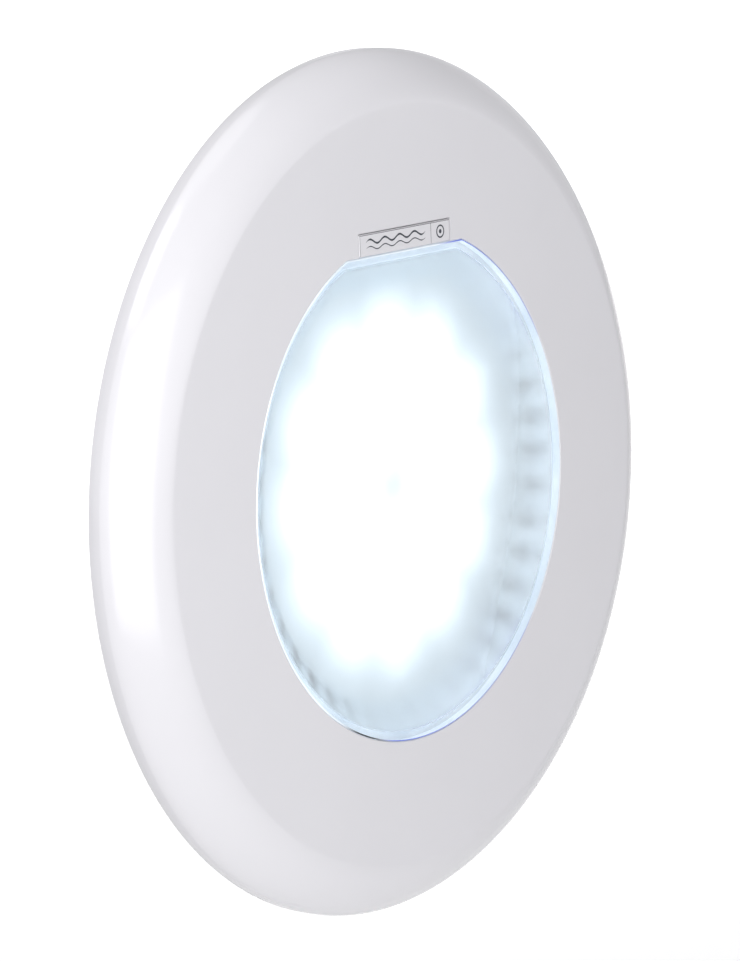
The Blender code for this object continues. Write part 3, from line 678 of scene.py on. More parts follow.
def block(name: str, x: Point, y: Point, z: Point, angle: float = 0.0) -> Object:
    """Make a plain box cutter, turned about the Y axis."""
    c, s = math.cos(angle), math.sin(angle)
    corners = [(x[0], z[0]), (x[1], z[0]), (x[1], z[1]), (x[0], z[1])]
    outline = [(c * px - s * pz, s * px + c * pz) for px, pz in corners]
    return loft(name, [(outline, y[0]), (outline, y[1])], ring=False)


def strip(name: str, section: Sequence[Point], half_width: float) -> Object:
    """Make a strip of one section in X and Y, with a small chamfer at both ends in Z."""
    middle = Vector((sum(p[0] for p in section) / len(section), sum(p[1] for p in section) / len(section)))
    chamfer = min(0.0002, half_width * 0.2)
    ends = ((-half_width, chamfer), (chamfer - half_width, 0.0), (half_width - chamfer, 0.0), (half_width, chamfer))
    mesh = bmesh.new()
    skin(mesh, [[(p.x, p.y, z) for p in shrunk(section, middle, inwards)] for z, inwards in ends])
    return to_object(name, mesh)


def sector(name: str, inner: float, outer: float, span: float, low: float, high: float) -> Object:
    """Make a curved block about the axis, centred on +X, with worn edges."""
    section = soften([(inner, low), (outer, low), (outer, high), (inner, high)], 0.0004, 3)
    centre = Vector(((inner + outer) / 2, (low + high) / 2))
    steps, rows, mesh = 24, [], bmesh.new()
    for i in range(steps + 1):
        angle = -span / 2 + span * i / steps
        moved = shrunk(section, centre, 0.0003 if i in (0, steps) else 0.0)
        rows.append([(p.x * math.cos(angle), p.y, p.x * math.sin(angle)) for p in moved])
    skin(mesh, rows)
    return to_object(name, mesh)


def bake(made: Object, crease: float) -> Object:
    """Apply an object's modifiers, and find its sharp edges again."""
    graph = bpy.context.evaluated_depsgraph_get()
    data = bpy.data.meshes.new_from_object(made.evaluated_get(graph))
    made.modifiers.clear()
    made.data = data
    shade(data, crease)
    return made


def combine(made: Object, join: Sequence[Object] = (), cut: Sequence[Object] = ()) -> Object:
    """Join tools to an object, then cut others from it, and remove them all.

    Args:
        made: The object to shape.
        join: Tools to join to it.
        cut: Tools to cut from it.

    Returns:
        The shaped object.
    """
    for tool in (*join, *cut):
        modifier = made.modifiers.new(tool.name, "BOOLEAN")
        modifier.operation = "UNION" if tool in join else "DIFFERENCE"
        modifier.object, modifier.solver = tool, "EXACT"
    bpy.context.view_layer.update()
    bake(made, CREASE)
    for tool in (*join, *cut):
        bpy.data.objects.remove(tool, do_unlink=True)
    return made


# ============================================================================ repeated pieces
class Pattern:
    """A Geometry Nodes tree that repeats one unit, round the axis or along an outline."""

    def __init__(self, name: str, **kinds: str) -> None:
        """Start a tree with named inputs.

        Args:
            name: The piece's name.
            **kinds: Socket type of each input besides the count, the unit and the material.
        """
        self.name = name
        self.tree = bpy.data.node_groups.new(f"repeat_{name}", "GeometryNodeTree")
        sockets = self.tree.interface
        for way in ("INPUT", "OUTPUT"):
            sockets.new_socket("Geometry", in_out=way, socket_type="NodeSocketGeometry")
        kinds |= {"Count": "NodeSocketInt", "Unit": "NodeSocketObject", "Material": "NodeSocketMaterial"}
        self.keys = {
            label: sockets.new_socket(label, in_out="INPUT", socket_type=kind).identifier
            for label, kind in kinds.items()
        }
        self.given = self.add("NodeGroupInput").outputs

    def add(self, kind: str, inputs: dict[str | int, object] | None = None, **settings: object) -> Node:
        """Add a node to the tree."""
        return add_node(self.tree, kind, inputs, **settings)

    def run(
        self,
        host: bpy.types.Mesh,
        points: NodeSocket,
        rotation: NodeSocket,
        values: dict[str, object],
        crease: float = CREASE,
    ) -> Object:
        """Put the unit on each point, and keep the plain mesh that this makes.

        Args:
            host: The mesh that the tree starts from.
            points: Where the units go.
            rotation: How each is turned.
            values: Input name to its value.
            crease: Angle in degrees above which an edge stays sharp.

        Returns:
            One object that holds all the units.
        """
        info = self.add("GeometryNodeObjectInfo", {"Object": self.given["Unit"]}).outputs["Geometry"]
        placed = self.add("GeometryNodeInstanceOnPoints", {"Points": points, "Instance": info, "Rotation": rotation})
        real = self.add("GeometryNodeRealizeInstances", {0: placed.outputs[0]}).outputs[0]
        coat = self.add("GeometryNodeSetMaterial", {"Geometry": real, "Material": self.given["Material"]})
        self.add("NodeGroupOutput", {0: coat.outputs[0]})
        made = link(self.name, host)
        modifier = made.modifiers.new(self.name, "NODES")
        modifier.node_group = self.tree
        for label, value in values.items():
            modifier[self.keys[label]] = value
        bpy.context.view_layer.update()
        bake(made, crease)
        bpy.data.objects.remove(values["Unit"], do_unlink=True)
        return made

    @classmethod
    def round_axis(
        cls, name: str, unit: Object, count: int, radius: float, phase: float, look: Look, crease: float = CREASE
    ) -> Object:
        """Repeat a unit round the light's axis, turning it to face outwards.

        Args:
            name: The piece's name.
            unit: One unit at the axis, whose +X points outwards.
            count: How many.
            radius: Distance of each from the axis.
            phase: Direction of the first, in radians.
            look: The look of all.
            crease: Angle in degrees above which an edge stays sharp.

        Returns:
            One object that holds them all.
        """
        this = cls(name, Radius="NodeSocketFloat", Phase="NodeSocketFloat")
        tree, given = this.tree, this.given
        line = this.add("GeometryNodeMeshLine", {"Count": given["Count"]}).outputs[0]
        share = maths(tree, "DIVIDE", this.add("GeometryNodeInputIndex").outputs[0], given["Count"])
        angle = maths(tree, "MULTIPLY_ADD", share, 2 * math.pi, given["Phase"])
        ray = this.add("ShaderNodeCombineXYZ", {0: maths(tree, "COSINE", angle), 2: maths(tree, "SINE", angle)})
        place = this.add("ShaderNodeVectorMath", {0: ray.outputs[0], "Scale": given["Radius"]}, operation="SCALE")
        moved = this.add("GeometryNodeSetPosition", {"Geometry": line, "Position": place.outputs[0]}).outputs[0]
        turn = this.add("ShaderNodeCombineXYZ", {1: maths(tree, "MULTIPLY", angle, -1.0)}).outputs[0]
        values = {"Count": count, "Radius": radius, "Phase": phase, "Unit": unit, "Material": dressed(look)}
        return this.run(bpy.data.meshes.new(name), moved, turn, values, crease)

    @classmethod
    def along_outline(
        cls, name: str, unit: Object, outline: Sequence[Point], y: float, count: int, look: Look
    ) -> Object:
        """Repeat a unit along a closed outline, turned to follow it.

        Args:
            name: The piece's name.
            unit: One unit at the axis, whose +X runs along the outline.
            outline: The outline's (x, z) points.
            y: Level of the outline.
            count: How many.
            look: The look of all.

        Returns:
            One object that holds them all.
        """
        this = cls(name)
        curve = this.add("GeometryNodeMeshToCurve", {0: this.given["Geometry"]}).outputs[0]
        even = this.add("GeometryNodeResampleCurve", {"Curve": curve, "Count": this.given["Count"]}).outputs[0]
        tangent = this.add("GeometryNodeInputTangent").outputs[0]
        facing = this.add("FunctionNodeAlignRotationToVector", {"Vector": tangent}, axis="X", pivot_axis="Y").outputs[0]
        data, last = bpy.data.meshes.new(name), len(outline) - 1
        edges = [(i, i + 1) for i in range(last)] + [(last, 0)]
        data.from_pydata([(x, y, z) for x, z in outline], edges, [])
        return this.run(data, even, facing, {"Count": count, "Unit": unit, "Material": dressed(look)})


def settle(made: Object, body: str, slot: str, *nodes: str) -> Object:
    """Let a piece ride on its body and stand for its nodes.

    Args:
        made: The finished piece.
        body: The body it moves with.
        slot: The record's material slot; not used.
        *nodes: The nodes it stands for.

    Returns:
        The same piece.
    """
    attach(made, body)
    if nodes:
        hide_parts(*nodes)
    LOG.info("%s rides on %s: %d faces", made.name, body, len(made.data.polygons))
    return made


# ============================================================================ the cover
@dataclass
class Cover:
    """The white disc in front: its flat face, soft rim, lens opening, badge pocket and ribs.

    Attributes:
        flat_radius: Where the flat face ends and the rim's bevel begins.
        skirt: Straight height of the rim behind the bevel.
        power: Fullness of the bevel.
        wall: Thickness of the disc.
        gap: Clearance round the lens.
        edge: Rounding of the opening's front edge.
    """

    flat_radius: float = 0.1216
    skirt: float = 0.0041
    power: float = 1.46
    wall: float = 0.0030
    gap: float = 0.0004
    edge: float = 0.00025
    pocket_depth: float = 0.0015
    lock_height: float = 0.0796
    peg_x: float = 0.0160
    rib_count: int = 12
    blade_half_width: float = 0.0060
    front: float = field(init=False)
    back: float = field(init=False)
    radius: float = field(init=False)

    def __post_init__(self) -> None:
        """Read the disc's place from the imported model."""
        low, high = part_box("faceplate")
        self.front, self.back, self.radius = low.y, high.y, high.x

    def shell_loops(self) -> list[Loop]:
        """Give the outlines that the disc is skinned from, starting behind the opening."""
        inside_y, bend_y = self.front + self.wall, self.back - self.skirt
        loops: list[Loop] = [(DEE.points(self.gap), inside_y - 0.0003)]
        for i in range(6):
            t = math.pi / 2 * i / 5
            offset = self.gap + self.edge * (1 - math.cos(t))
            loops.append((DEE.points(offset), self.front + self.edge * (1 - math.sin(t))))
        loops.append((DEE.points(self.gap + self.edge + 0.0003), self.front))
        loops.append((DEE.circle(self.flat_radius - 0.0009), self.front))
        outside = rim_curve((self.flat_radius, self.front), (self.radius, bend_y), self.power, 30)
        outside += [(self.radius, self.back - 0.0004), (self.radius - 0.0001, self.back - 0.0001)]
        inner = self.radius - self.wall
        outside += [(self.radius - 0.0005, self.back), (inner + 0.0005, self.back), (inner, self.back - 0.0004)]
        inner_flat = self.flat_radius - self.wall / 2
        inside = rim_curve((inner_flat, inside_y), (inner, bend_y + self.wall / 2), self.power, 16)
        loops += [(DEE.circle(r), y) for r, y in outside + inside[::-1]]
        loops.append((DEE.circle(inner_flat - 0.0009), inside_y))
        loops.append((DEE.points(self.gap + 0.0003), inside_y))
        return loops

    def build_shell(self) -> None:
        """Make the disc with its badge pocket, screw boss and holes."""
        shell = loft("faceplate_shell", self.shell_loops(), WHITE_ABS)
        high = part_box("badge_plate")[1]
        half = high.x + self.gap
        lock, pegs = [(0.0, self.lock_height)], [(-self.peg_x, self.lock_height), (self.peg_x, self.lock_height)]
        bed = self.front + self.wall
        boss = pins("boss", lock, 0.0052, (bed - 0.001, bed + 0.0014), 48)
        flush = block("flush", (-0.0062, 0.0062), (self.front - 0.001, bed + 0.0024), (0.07, DEE.flat + 0.0006))
        pocket = block(
            "pocket",
            (-half, half),
            (self.front - 0.001, self.front + self.pocket_depth),
            (DEE.flat - 0.001, high.z + self.gap),
        )
        combine(
            shell,
            join=[boss],
            cut=[
                flush,
                pocket,
                pins("head_room", lock, 0.0032, (self.front, self.front + 0.0034)),
                pins("shank_room", lock, 0.0019, (self.front, bed + 0.0030)),
                pins("peg_room", pegs, 0.0016, (self.front, bed + 0.0010)),
            ],
        )
        settle(shell, "cover", "faceplate_abs", "faceplate")

    def build_ribs(self) -> None:
        """Make the stiffening ribs and the four blades behind the disc."""
        bed = self.front + self.wall
        rib = self.gusset("rib_unit", 0.0190, 0.0018, bed - 0.0004, bed + 0.0055)
        ribs = Pattern.round_axis(
            "faceplate_ribs", rib, self.rib_count, 0.1040, math.pi / self.rib_count, WHITE_ABS_BACK
        )
        settle(ribs, "cover", "faceplate_abs")
        root, tip, thickness = bed - 0.0004, bed + 0.0090, 0.0023
        section = soften([(0.0, root), (thickness, root), (thickness, tip), (0.0, tip)], 0.0005)
        blade = strip("blade_unit", section, self.blade_half_width)
        blades = Pattern.round_axis("faceplate_blades", blade, 4, 0.0953, math.pi / 4, WHITE_ABS_BACK)
        settle(blades, "cover", "faceplate_abs")

    @staticmethod
    def gusset(name: str, length: float, thick: float, low: float, high: float) -> Object:
        """Make a rib whose free edge slopes down at its outer end."""
        side = soften([(0.0, low), (length, low), (length, low + 0.0012), (length * 0.7, high), (0.0, high)], 0.0006, 3)
        return strip(name, side, thick / 2)


@dataclass
class Badge:
    """The small plate over the lock screw, with a plain printed pattern of waves and a ring, and a dark line of painted
    shadow along its top edge.

    Attributes:
        thickness: Thickness of the plate.
        divider: Where the fine upright line stands.
        ink: Height of the print.
    """

    thickness: float = 0.00115
    divider: float = 0.0139
    ink: float = 0.00004
    peg_radius: float = 0.0012

    def build(self) -> None:
        """Make the plate, its pegs and its print."""
        low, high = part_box("badge_plate")
        corners = soften([(low.x, low.z), (high.x, low.z), (high.x, high.z), (low.x, high.z)], 0.0006, 5)
        front, back = low.y, low.y + self.thickness
        edge, middle = 0.00022, Vector(((low.x + high.x) / 2, (low.z + high.z) / 2))
        inner = [
            (x - edge * math.copysign(1, x - middle.x), z - edge * math.copysign(1, z - middle.y)) for x, z in corners
        ]
        loops = [(inner, front), (corners, front + edge), (corners, back)]
        plate = loft("badge_cover", loops, WHITE_ABS, ring=False)
        pegs = pins("pegs", [(-0.016, 0.0796), (0.016, 0.0796)], self.peg_radius, (front + 0.0006, high.y), 32)
        combine(plate, join=[pegs])
        settle(plate, "badge", "badge_abs", "badge_plate")
        self.print_pattern_and_gap_shadow(front, low, high)

    def print_pattern_and_gap_shadow(self, front: float, low: Vector, high: Vector) -> None:
        """Print two waves in the wide field and a ring with a dot in the narrow one, and draw fine dark lines, one of
        them painted shadow along the top edge.
        """
        ink, mesh = PRINT_INK_AND_GAP_SHADOW, bmesh.new()
        middle = (low.z + high.z) / 2
        for height, swing, stroke in ((0.0009, 0.00075, 0.00062), (-0.0011, 0.00055, 0.00036)):
            self.wave(mesh, front, (low.x + 0.0035, self.divider - 0.0030), middle + height, swing, stroke)
        ring_x = (self.divider + high.x) / 2
        for inner, outer in ((0.00165, 0.00215), (0.0, 0.0007)):
            self.disc(mesh, front, (ring_x, middle), inner, outer)
        line = 0.00009
        self.bar(mesh, front, (self.divider - line, self.divider + line), (low.z + 0.0003, high.z - 0.0003))
        # A dark line along the top edge: painted shadow of the gap above the plate.
        self.bar(mesh, front, (low.x + 0.0003, high.x - 0.0003), (high.z - 0.00042, high.z - 0.00025))
        self.bar(mesh, front, (low.x + 0.00025, low.x + 0.00042), (low.z + 0.0003, high.z - 0.0003))
        settle(to_object("badge_print", mesh, ink), "badge", "badge_abs")

    def add_strip(
        self, mesh: BMesh, front: float, upper: Sequence[Point], lower: Sequence[Point], closed: bool
    ) -> None:
        """Lay a flat strip of ink between two lines of points, as a thin closed solid."""
        levels = (front - self.ink * 0.2, front + self.ink)
        rows = [[mesh.verts.new((x, y, z)) for x, z in line] for line in (upper, lower) for y in levels]
        order = [rows[0], rows[1], rows[3], rows[2]]
        count = len(upper)
        for one, two in zip(order, order[1:] + order[:1]):
            for i in range(count if closed else count - 1):
                k = (i + 1) % count
                mesh.faces.new((one[i], one[k], two[k], two[i]))
        if not closed:
            mesh.faces.new([row[0] for row in order])
            mesh.faces.new([row[-1] for row in order])

    def wave(self, mesh: BMesh, front: float, span: Point, height: float, swing: float, stroke: float) -> None:
        """Add a wave of even stroke with four crests."""
        upper, lower, steps = [], [], 96
        for i in range(steps + 1):
            t = i / steps
            x = span[0] + (span[1] - span[0]) * t
            z = height + swing * math.sin(8 * math.pi * t)
            taper = stroke / 2 * min(1.0, 12 * t + 0.15, 12 * (1 - t) + 0.15)
            upper.append((x, z + taper))
            lower.append((x, z - taper))
        self.add_strip(mesh, front, upper, lower, closed=False)

    def disc(self, mesh: BMesh, front: float, centre: Point, inner: float, outer: float) -> None:
        """Add a printed ring, or a dot if it has no inner radius."""
        self.add_strip(mesh, front, circle(outer, 48, centre), circle(max(inner, 0.00004), 48, centre), closed=True)

    def bar(self, mesh: BMesh, front: float, x: Point, z: Point) -> None:
        """Add a straight line."""
        self.add_strip(mesh, front, [(x[0], z[1]), (x[1], z[1])], [(x[0], z[0]), (x[1], z[0])], closed=False)


# ============================================================================ screws
@dataclass(frozen=True)
class ScrewSize:
    """Sizes of a round-headed screw with a cross recess.

    Attributes:
        head_radius: Radius of the head.
        head_height: Height of the head.
        shank_radius: Radius over the thread.
        pitch: Distance between threads.
    """

    head_radius: float
    head_height: float
    shank_radius: float
    pitch: float

    def unit(self, head_y: float, tip_y: float, centre: Point = (0.0, 0.0)) -> Object:
        """Make one screw whose head starts at head_y and whose tip ends at tip_y.

        Args:
            head_y: Level of the head's top.
            tip_y: Level of the tip.
            centre: The axis's x and z.

        Returns:
            The screw, with its cross recess cut.
        """
        under, radius = head_y + self.head_height, self.head_radius
        section = [(0.0, head_y)]
        for i in range(9):
            t = math.pi / 2 * i / 8
            section.append((radius * (0.55 + 0.45 * math.sin(t)), head_y + self.head_height * 0.55 * (1 - math.cos(t))))
        section += [(radius, under - 0.0001), (radius - 0.0001, under), (self.shank_radius * 0.86, under)]
        y, core = under + 0.0004, self.shank_radius * 0.80
        while y < tip_y - self.pitch * 1.6:
            section += [(core, y)] + [(self.shank_radius, y + self.pitch * share) for share in (0.42, 0.55)]
            y += self.pitch
        section += [(core, y), (core * 0.5, tip_y), (0.0, tip_y)]
        made = turned("screw_unit", section, steps=36, centre=centre, ring=False)
        depth, arm, thin = self.head_height * 0.62, radius * 0.52, radius * 0.12
        cross = [
            block(
                f"arm_{i}",
                (-arm, arm),
                (head_y - 0.001, head_y + depth),
                (-thin, thin),
                math.pi / 4 + math.pi / 2 * i,
            )
            for i in range(2)
        ]
        for tool in cross:
            tool.data.transform(Matrix.Translation((centre[0], 0.0, centre[1])))
        return combine(made, cut=cross)


@dataclass
class Fixings:
    """The clamp screws, the lock screw and the wall screws, which can be seen when the light is whole or taken apart.
    """

    clamp: ScrewSize = ScrewSize(0.0026, 0.0014, 0.0014, 0.0009)
    lock: ScrewSize = ScrewSize(0.0028, 0.0014, 0.0015, 0.0005)
    wall: ScrewSize = ScrewSize(0.0042, 0.0026, 0.0020, 0.0014)
    ear_circle: float = 0.1110
    clamp_circle: float = 0.0912

    def build(self) -> None:
        """Make the clamp screws, the lock screw and the wall screws with their plugs."""
        steel = STAINLESS
        low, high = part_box("clamp_screw_1")
        unit = self.clamp.unit(low.y, high.y)
        made = Pattern.round_axis("clamp_screws", unit, 8, self.clamp_circle, math.pi / 2 + math.pi / 8, steel)
        settle(made, "lamp", "stainless_steel", *[f"clamp_screw_{i}" for i in range(1, 9)])
        low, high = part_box("lock_screw")
        made = self.lock.unit(low.y, high.y, (0.0, (low.z + high.z) / 2))
        made.name = "lock_screw_turned"
        made.data.materials.clear()
        made.data.materials.append(dressed(steel))
        settle(made, "lock", "stainless_steel", "lock_screw")
        self.build_wall(steel)

    def build_wall(self, steel: Look) -> None:
        """Make the four wall screws and the barbed plugs round them."""
        low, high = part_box("wall_screw_1")
        plug_low, plug_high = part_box("wall_plug_1")
        for side, phase, numbers in (("right", 65, (1, 3)), ("left", 115, (2, 4))):
            unit = self.wall.unit(low.y, high.y)
            screws = Pattern.round_axis(f"wall_screws_{side}", unit, 2, self.ear_circle, math.radians(phase), steel)
            settle(screws, "bracket", "stainless_steel", *[f"wall_screw_{n}" for n in numbers])
            plug = self.plug_unit(plug_low.y, plug_high.y)
            plugs = Pattern.round_axis(
                f"wall_plugs_{side}", plug, 2, self.ear_circle, math.radians(phase), GREY_NYLON
            )
            settle(plugs, "bracket", "plug_nylon", *[f"wall_plug_{n}" for n in numbers])

    @staticmethod
    def plug_unit(low: float, high: float) -> Object:
        """Make one plug with a collar and rings of barbs."""
        bore, body = 0.0023, 0.0031
        section = [(bore, low), (0.0042, low), (0.0042, low + 0.0006), (body, low + 0.0009)]
        y, step = low + 0.0030, 0.0023
        while y < high - 0.0070:
            section += [(body, y), (0.0034, y + step * 0.7), (body, y + step * 0.8)]
            y += step
        section += [(body, y), (0.0029, high), (bore, high)]
        plug = turned("plug_unit", section, steps=36)
        slit = block("slit", (-0.006, 0.006), (low + 0.0080, high + 0.001), (-0.0004, 0.0004))
        return combine(plug, cut=[slit])


# ============================================================================ the lamp
@dataclass
class Optics:
    """What shines: the lens, the reflector round the diodes, and the diodes on their board.

    Attributes:
        wall: Thickness of the lens's side wall.
        front_thickness: Thickness of the lens's front.
        grow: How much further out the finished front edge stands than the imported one.
        tooth_count: Teeth round the reflector.
    """

    wall: float = 0.0025
    front_thickness: float = 0.0030
    grow: float = 0.00022
    tooth_count: int = 40

    def build(self) -> None:
        """Make the optics from the front to the back."""
        self.build_lens()
        self.build_reflector()
        self.build_board()

    def build_lens(self) -> None:
        """Make the D-shaped hat with its flange and key hole."""
        low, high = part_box("lens")
        front, back, flange = low.y, high.y, high.x
        shoulder, grow = front + 0.0071, self.grow
        loops: list[Loop] = [(DEE.points(grow - 0.0007), front)]
        for i in range(5):
            t = math.pi / 2 * i / 4
            loops.append((DEE.points(grow - 0.0004 * (1 - math.sin(t))), front + 0.0004 * (1 - math.cos(t))))
        inside = front + self.front_thickness
        loops += [(DEE.points(), shoulder), (DEE.circle(flange), shoulder), (DEE.circle(flange), back)]
        loops += [(DEE.points(-self.wall), back), (DEE.points(-self.wall), inside + 0.0008)]
        loops += [(DEE.points(-self.wall - 0.0003), inside + 0.0002), (DEE.points(-self.wall - 0.0008), inside)]
        mesh = bmesh.new()
        bands = add_loft(mesh, loops, ring=False)
        mesh.faces.ensure_lookup_table()
        mesh.faces[-1].material_index = 2
        zones = [0] + [1] * 4 + [3] + [0] * 2 + [3] * 2 + [2] * 3
        for number, band in enumerate(bands):
            for face in band:
                face.material_index = zones[number]
        lens = to_object("lens_hat", mesh, LENS_PC, LENS_CHAMFER, LENS_ETCHED_PC, LENS_WALL)
        hole = pins("key_hole", [(0.0, 0.0798)], 0.0040, (shoulder - 0.001, back + 0.001))
        combine(lens, cut=[hole])
        settle(lens, "lamp", "lens_polycarbonate", "lens")

    def build_reflector(self) -> None:
        """Make the sloped white ring and the teeth that stand on it."""
        low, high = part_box("reflector")
        outer, lip = -self.wall - 0.0001, low.y - 0.0004
        loops = [
            (DEE.points(outer), lip + 0.0003),
            (DEE.points(outer - 0.0003), lip),
            (DEE.points(outer - 0.0010), lip),
            (DEE.points(outer - 0.0014), lip + 0.0003),
            (DEE.points(outer - 0.0030), low.y + 0.0018),
            (DEE.points(outer - 0.0052), low.y + 0.0038),
            (DEE.points(outer - 0.0068), high.y - 0.0014),
            (DEE.points(outer - 0.0073), high.y - 0.0008),
            (DEE.points(outer - 0.0073), high.y),
            (DEE.points(outer), high.y),
        ]
        # The ring and its teeth share one material of painted glow and painted shade.
        finish = LitReflector("lit_white_polycarbonate", self.tooth_count)
        ring = loft("reflector_ring", loops, finish)
        settle(ring, "lamp", "reflector_polycarbonate", "reflector")
        section = soften([(-0.0026, 0.0), (0.0026, 0.0), (0.0018, -0.0022), (-0.0018, -0.0022)], 0.0010, 4)
        tooth = strip("tooth_unit", section, 0.0009)
        teeth = Pattern.along_outline(
            "reflector_teeth", tooth, DEE.points(outer - 0.0042), low.y + 0.0040, self.tooth_count, finish
        )
        settle(teeth, "lamp", "reflector_polycarbonate")

    def build_board(self) -> None:
        """Make the board's face, with its painted glow, and the domes of the diodes."""
        low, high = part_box("led_board")
        top = low.y + 0.0014
        section = soften([(0.0002, top), (high.x, top), (high.x, high.y), (0.0002, high.y)], 0.0002, 2)
        board = turned("led_board_face", section, BOARD_GLOW, steps=120)
        settle(board, "lamp", "board_white", "led_board")
        for count, radius in BOARD_GLOW.rings:
            unit = self.dome_unit(low.y, top)
            name = f"diode_domes_{count}"
            domes = Pattern.round_axis(name, unit, count, radius, 0.0, DIODE_DOME)
            settle(domes, "lamp", "board_white")

    @staticmethod
    def dome_unit(low: float, top: float) -> Object:
        """Make one diode: a flat package with a low dome on it."""
        height = top - low
        section = [(0.0, low)]
        for i in range(1, 9):
            t = math.pi / 2 * i / 8
            section.append((0.0026 * math.sin(t), low + height * 0.75 * (1 - math.cos(t))))
        section += [(0.0040, top - height * 0.22), (0.0042, top), (0.0, top)]
        return turned("dome_unit", section, steps=24, ring=False)


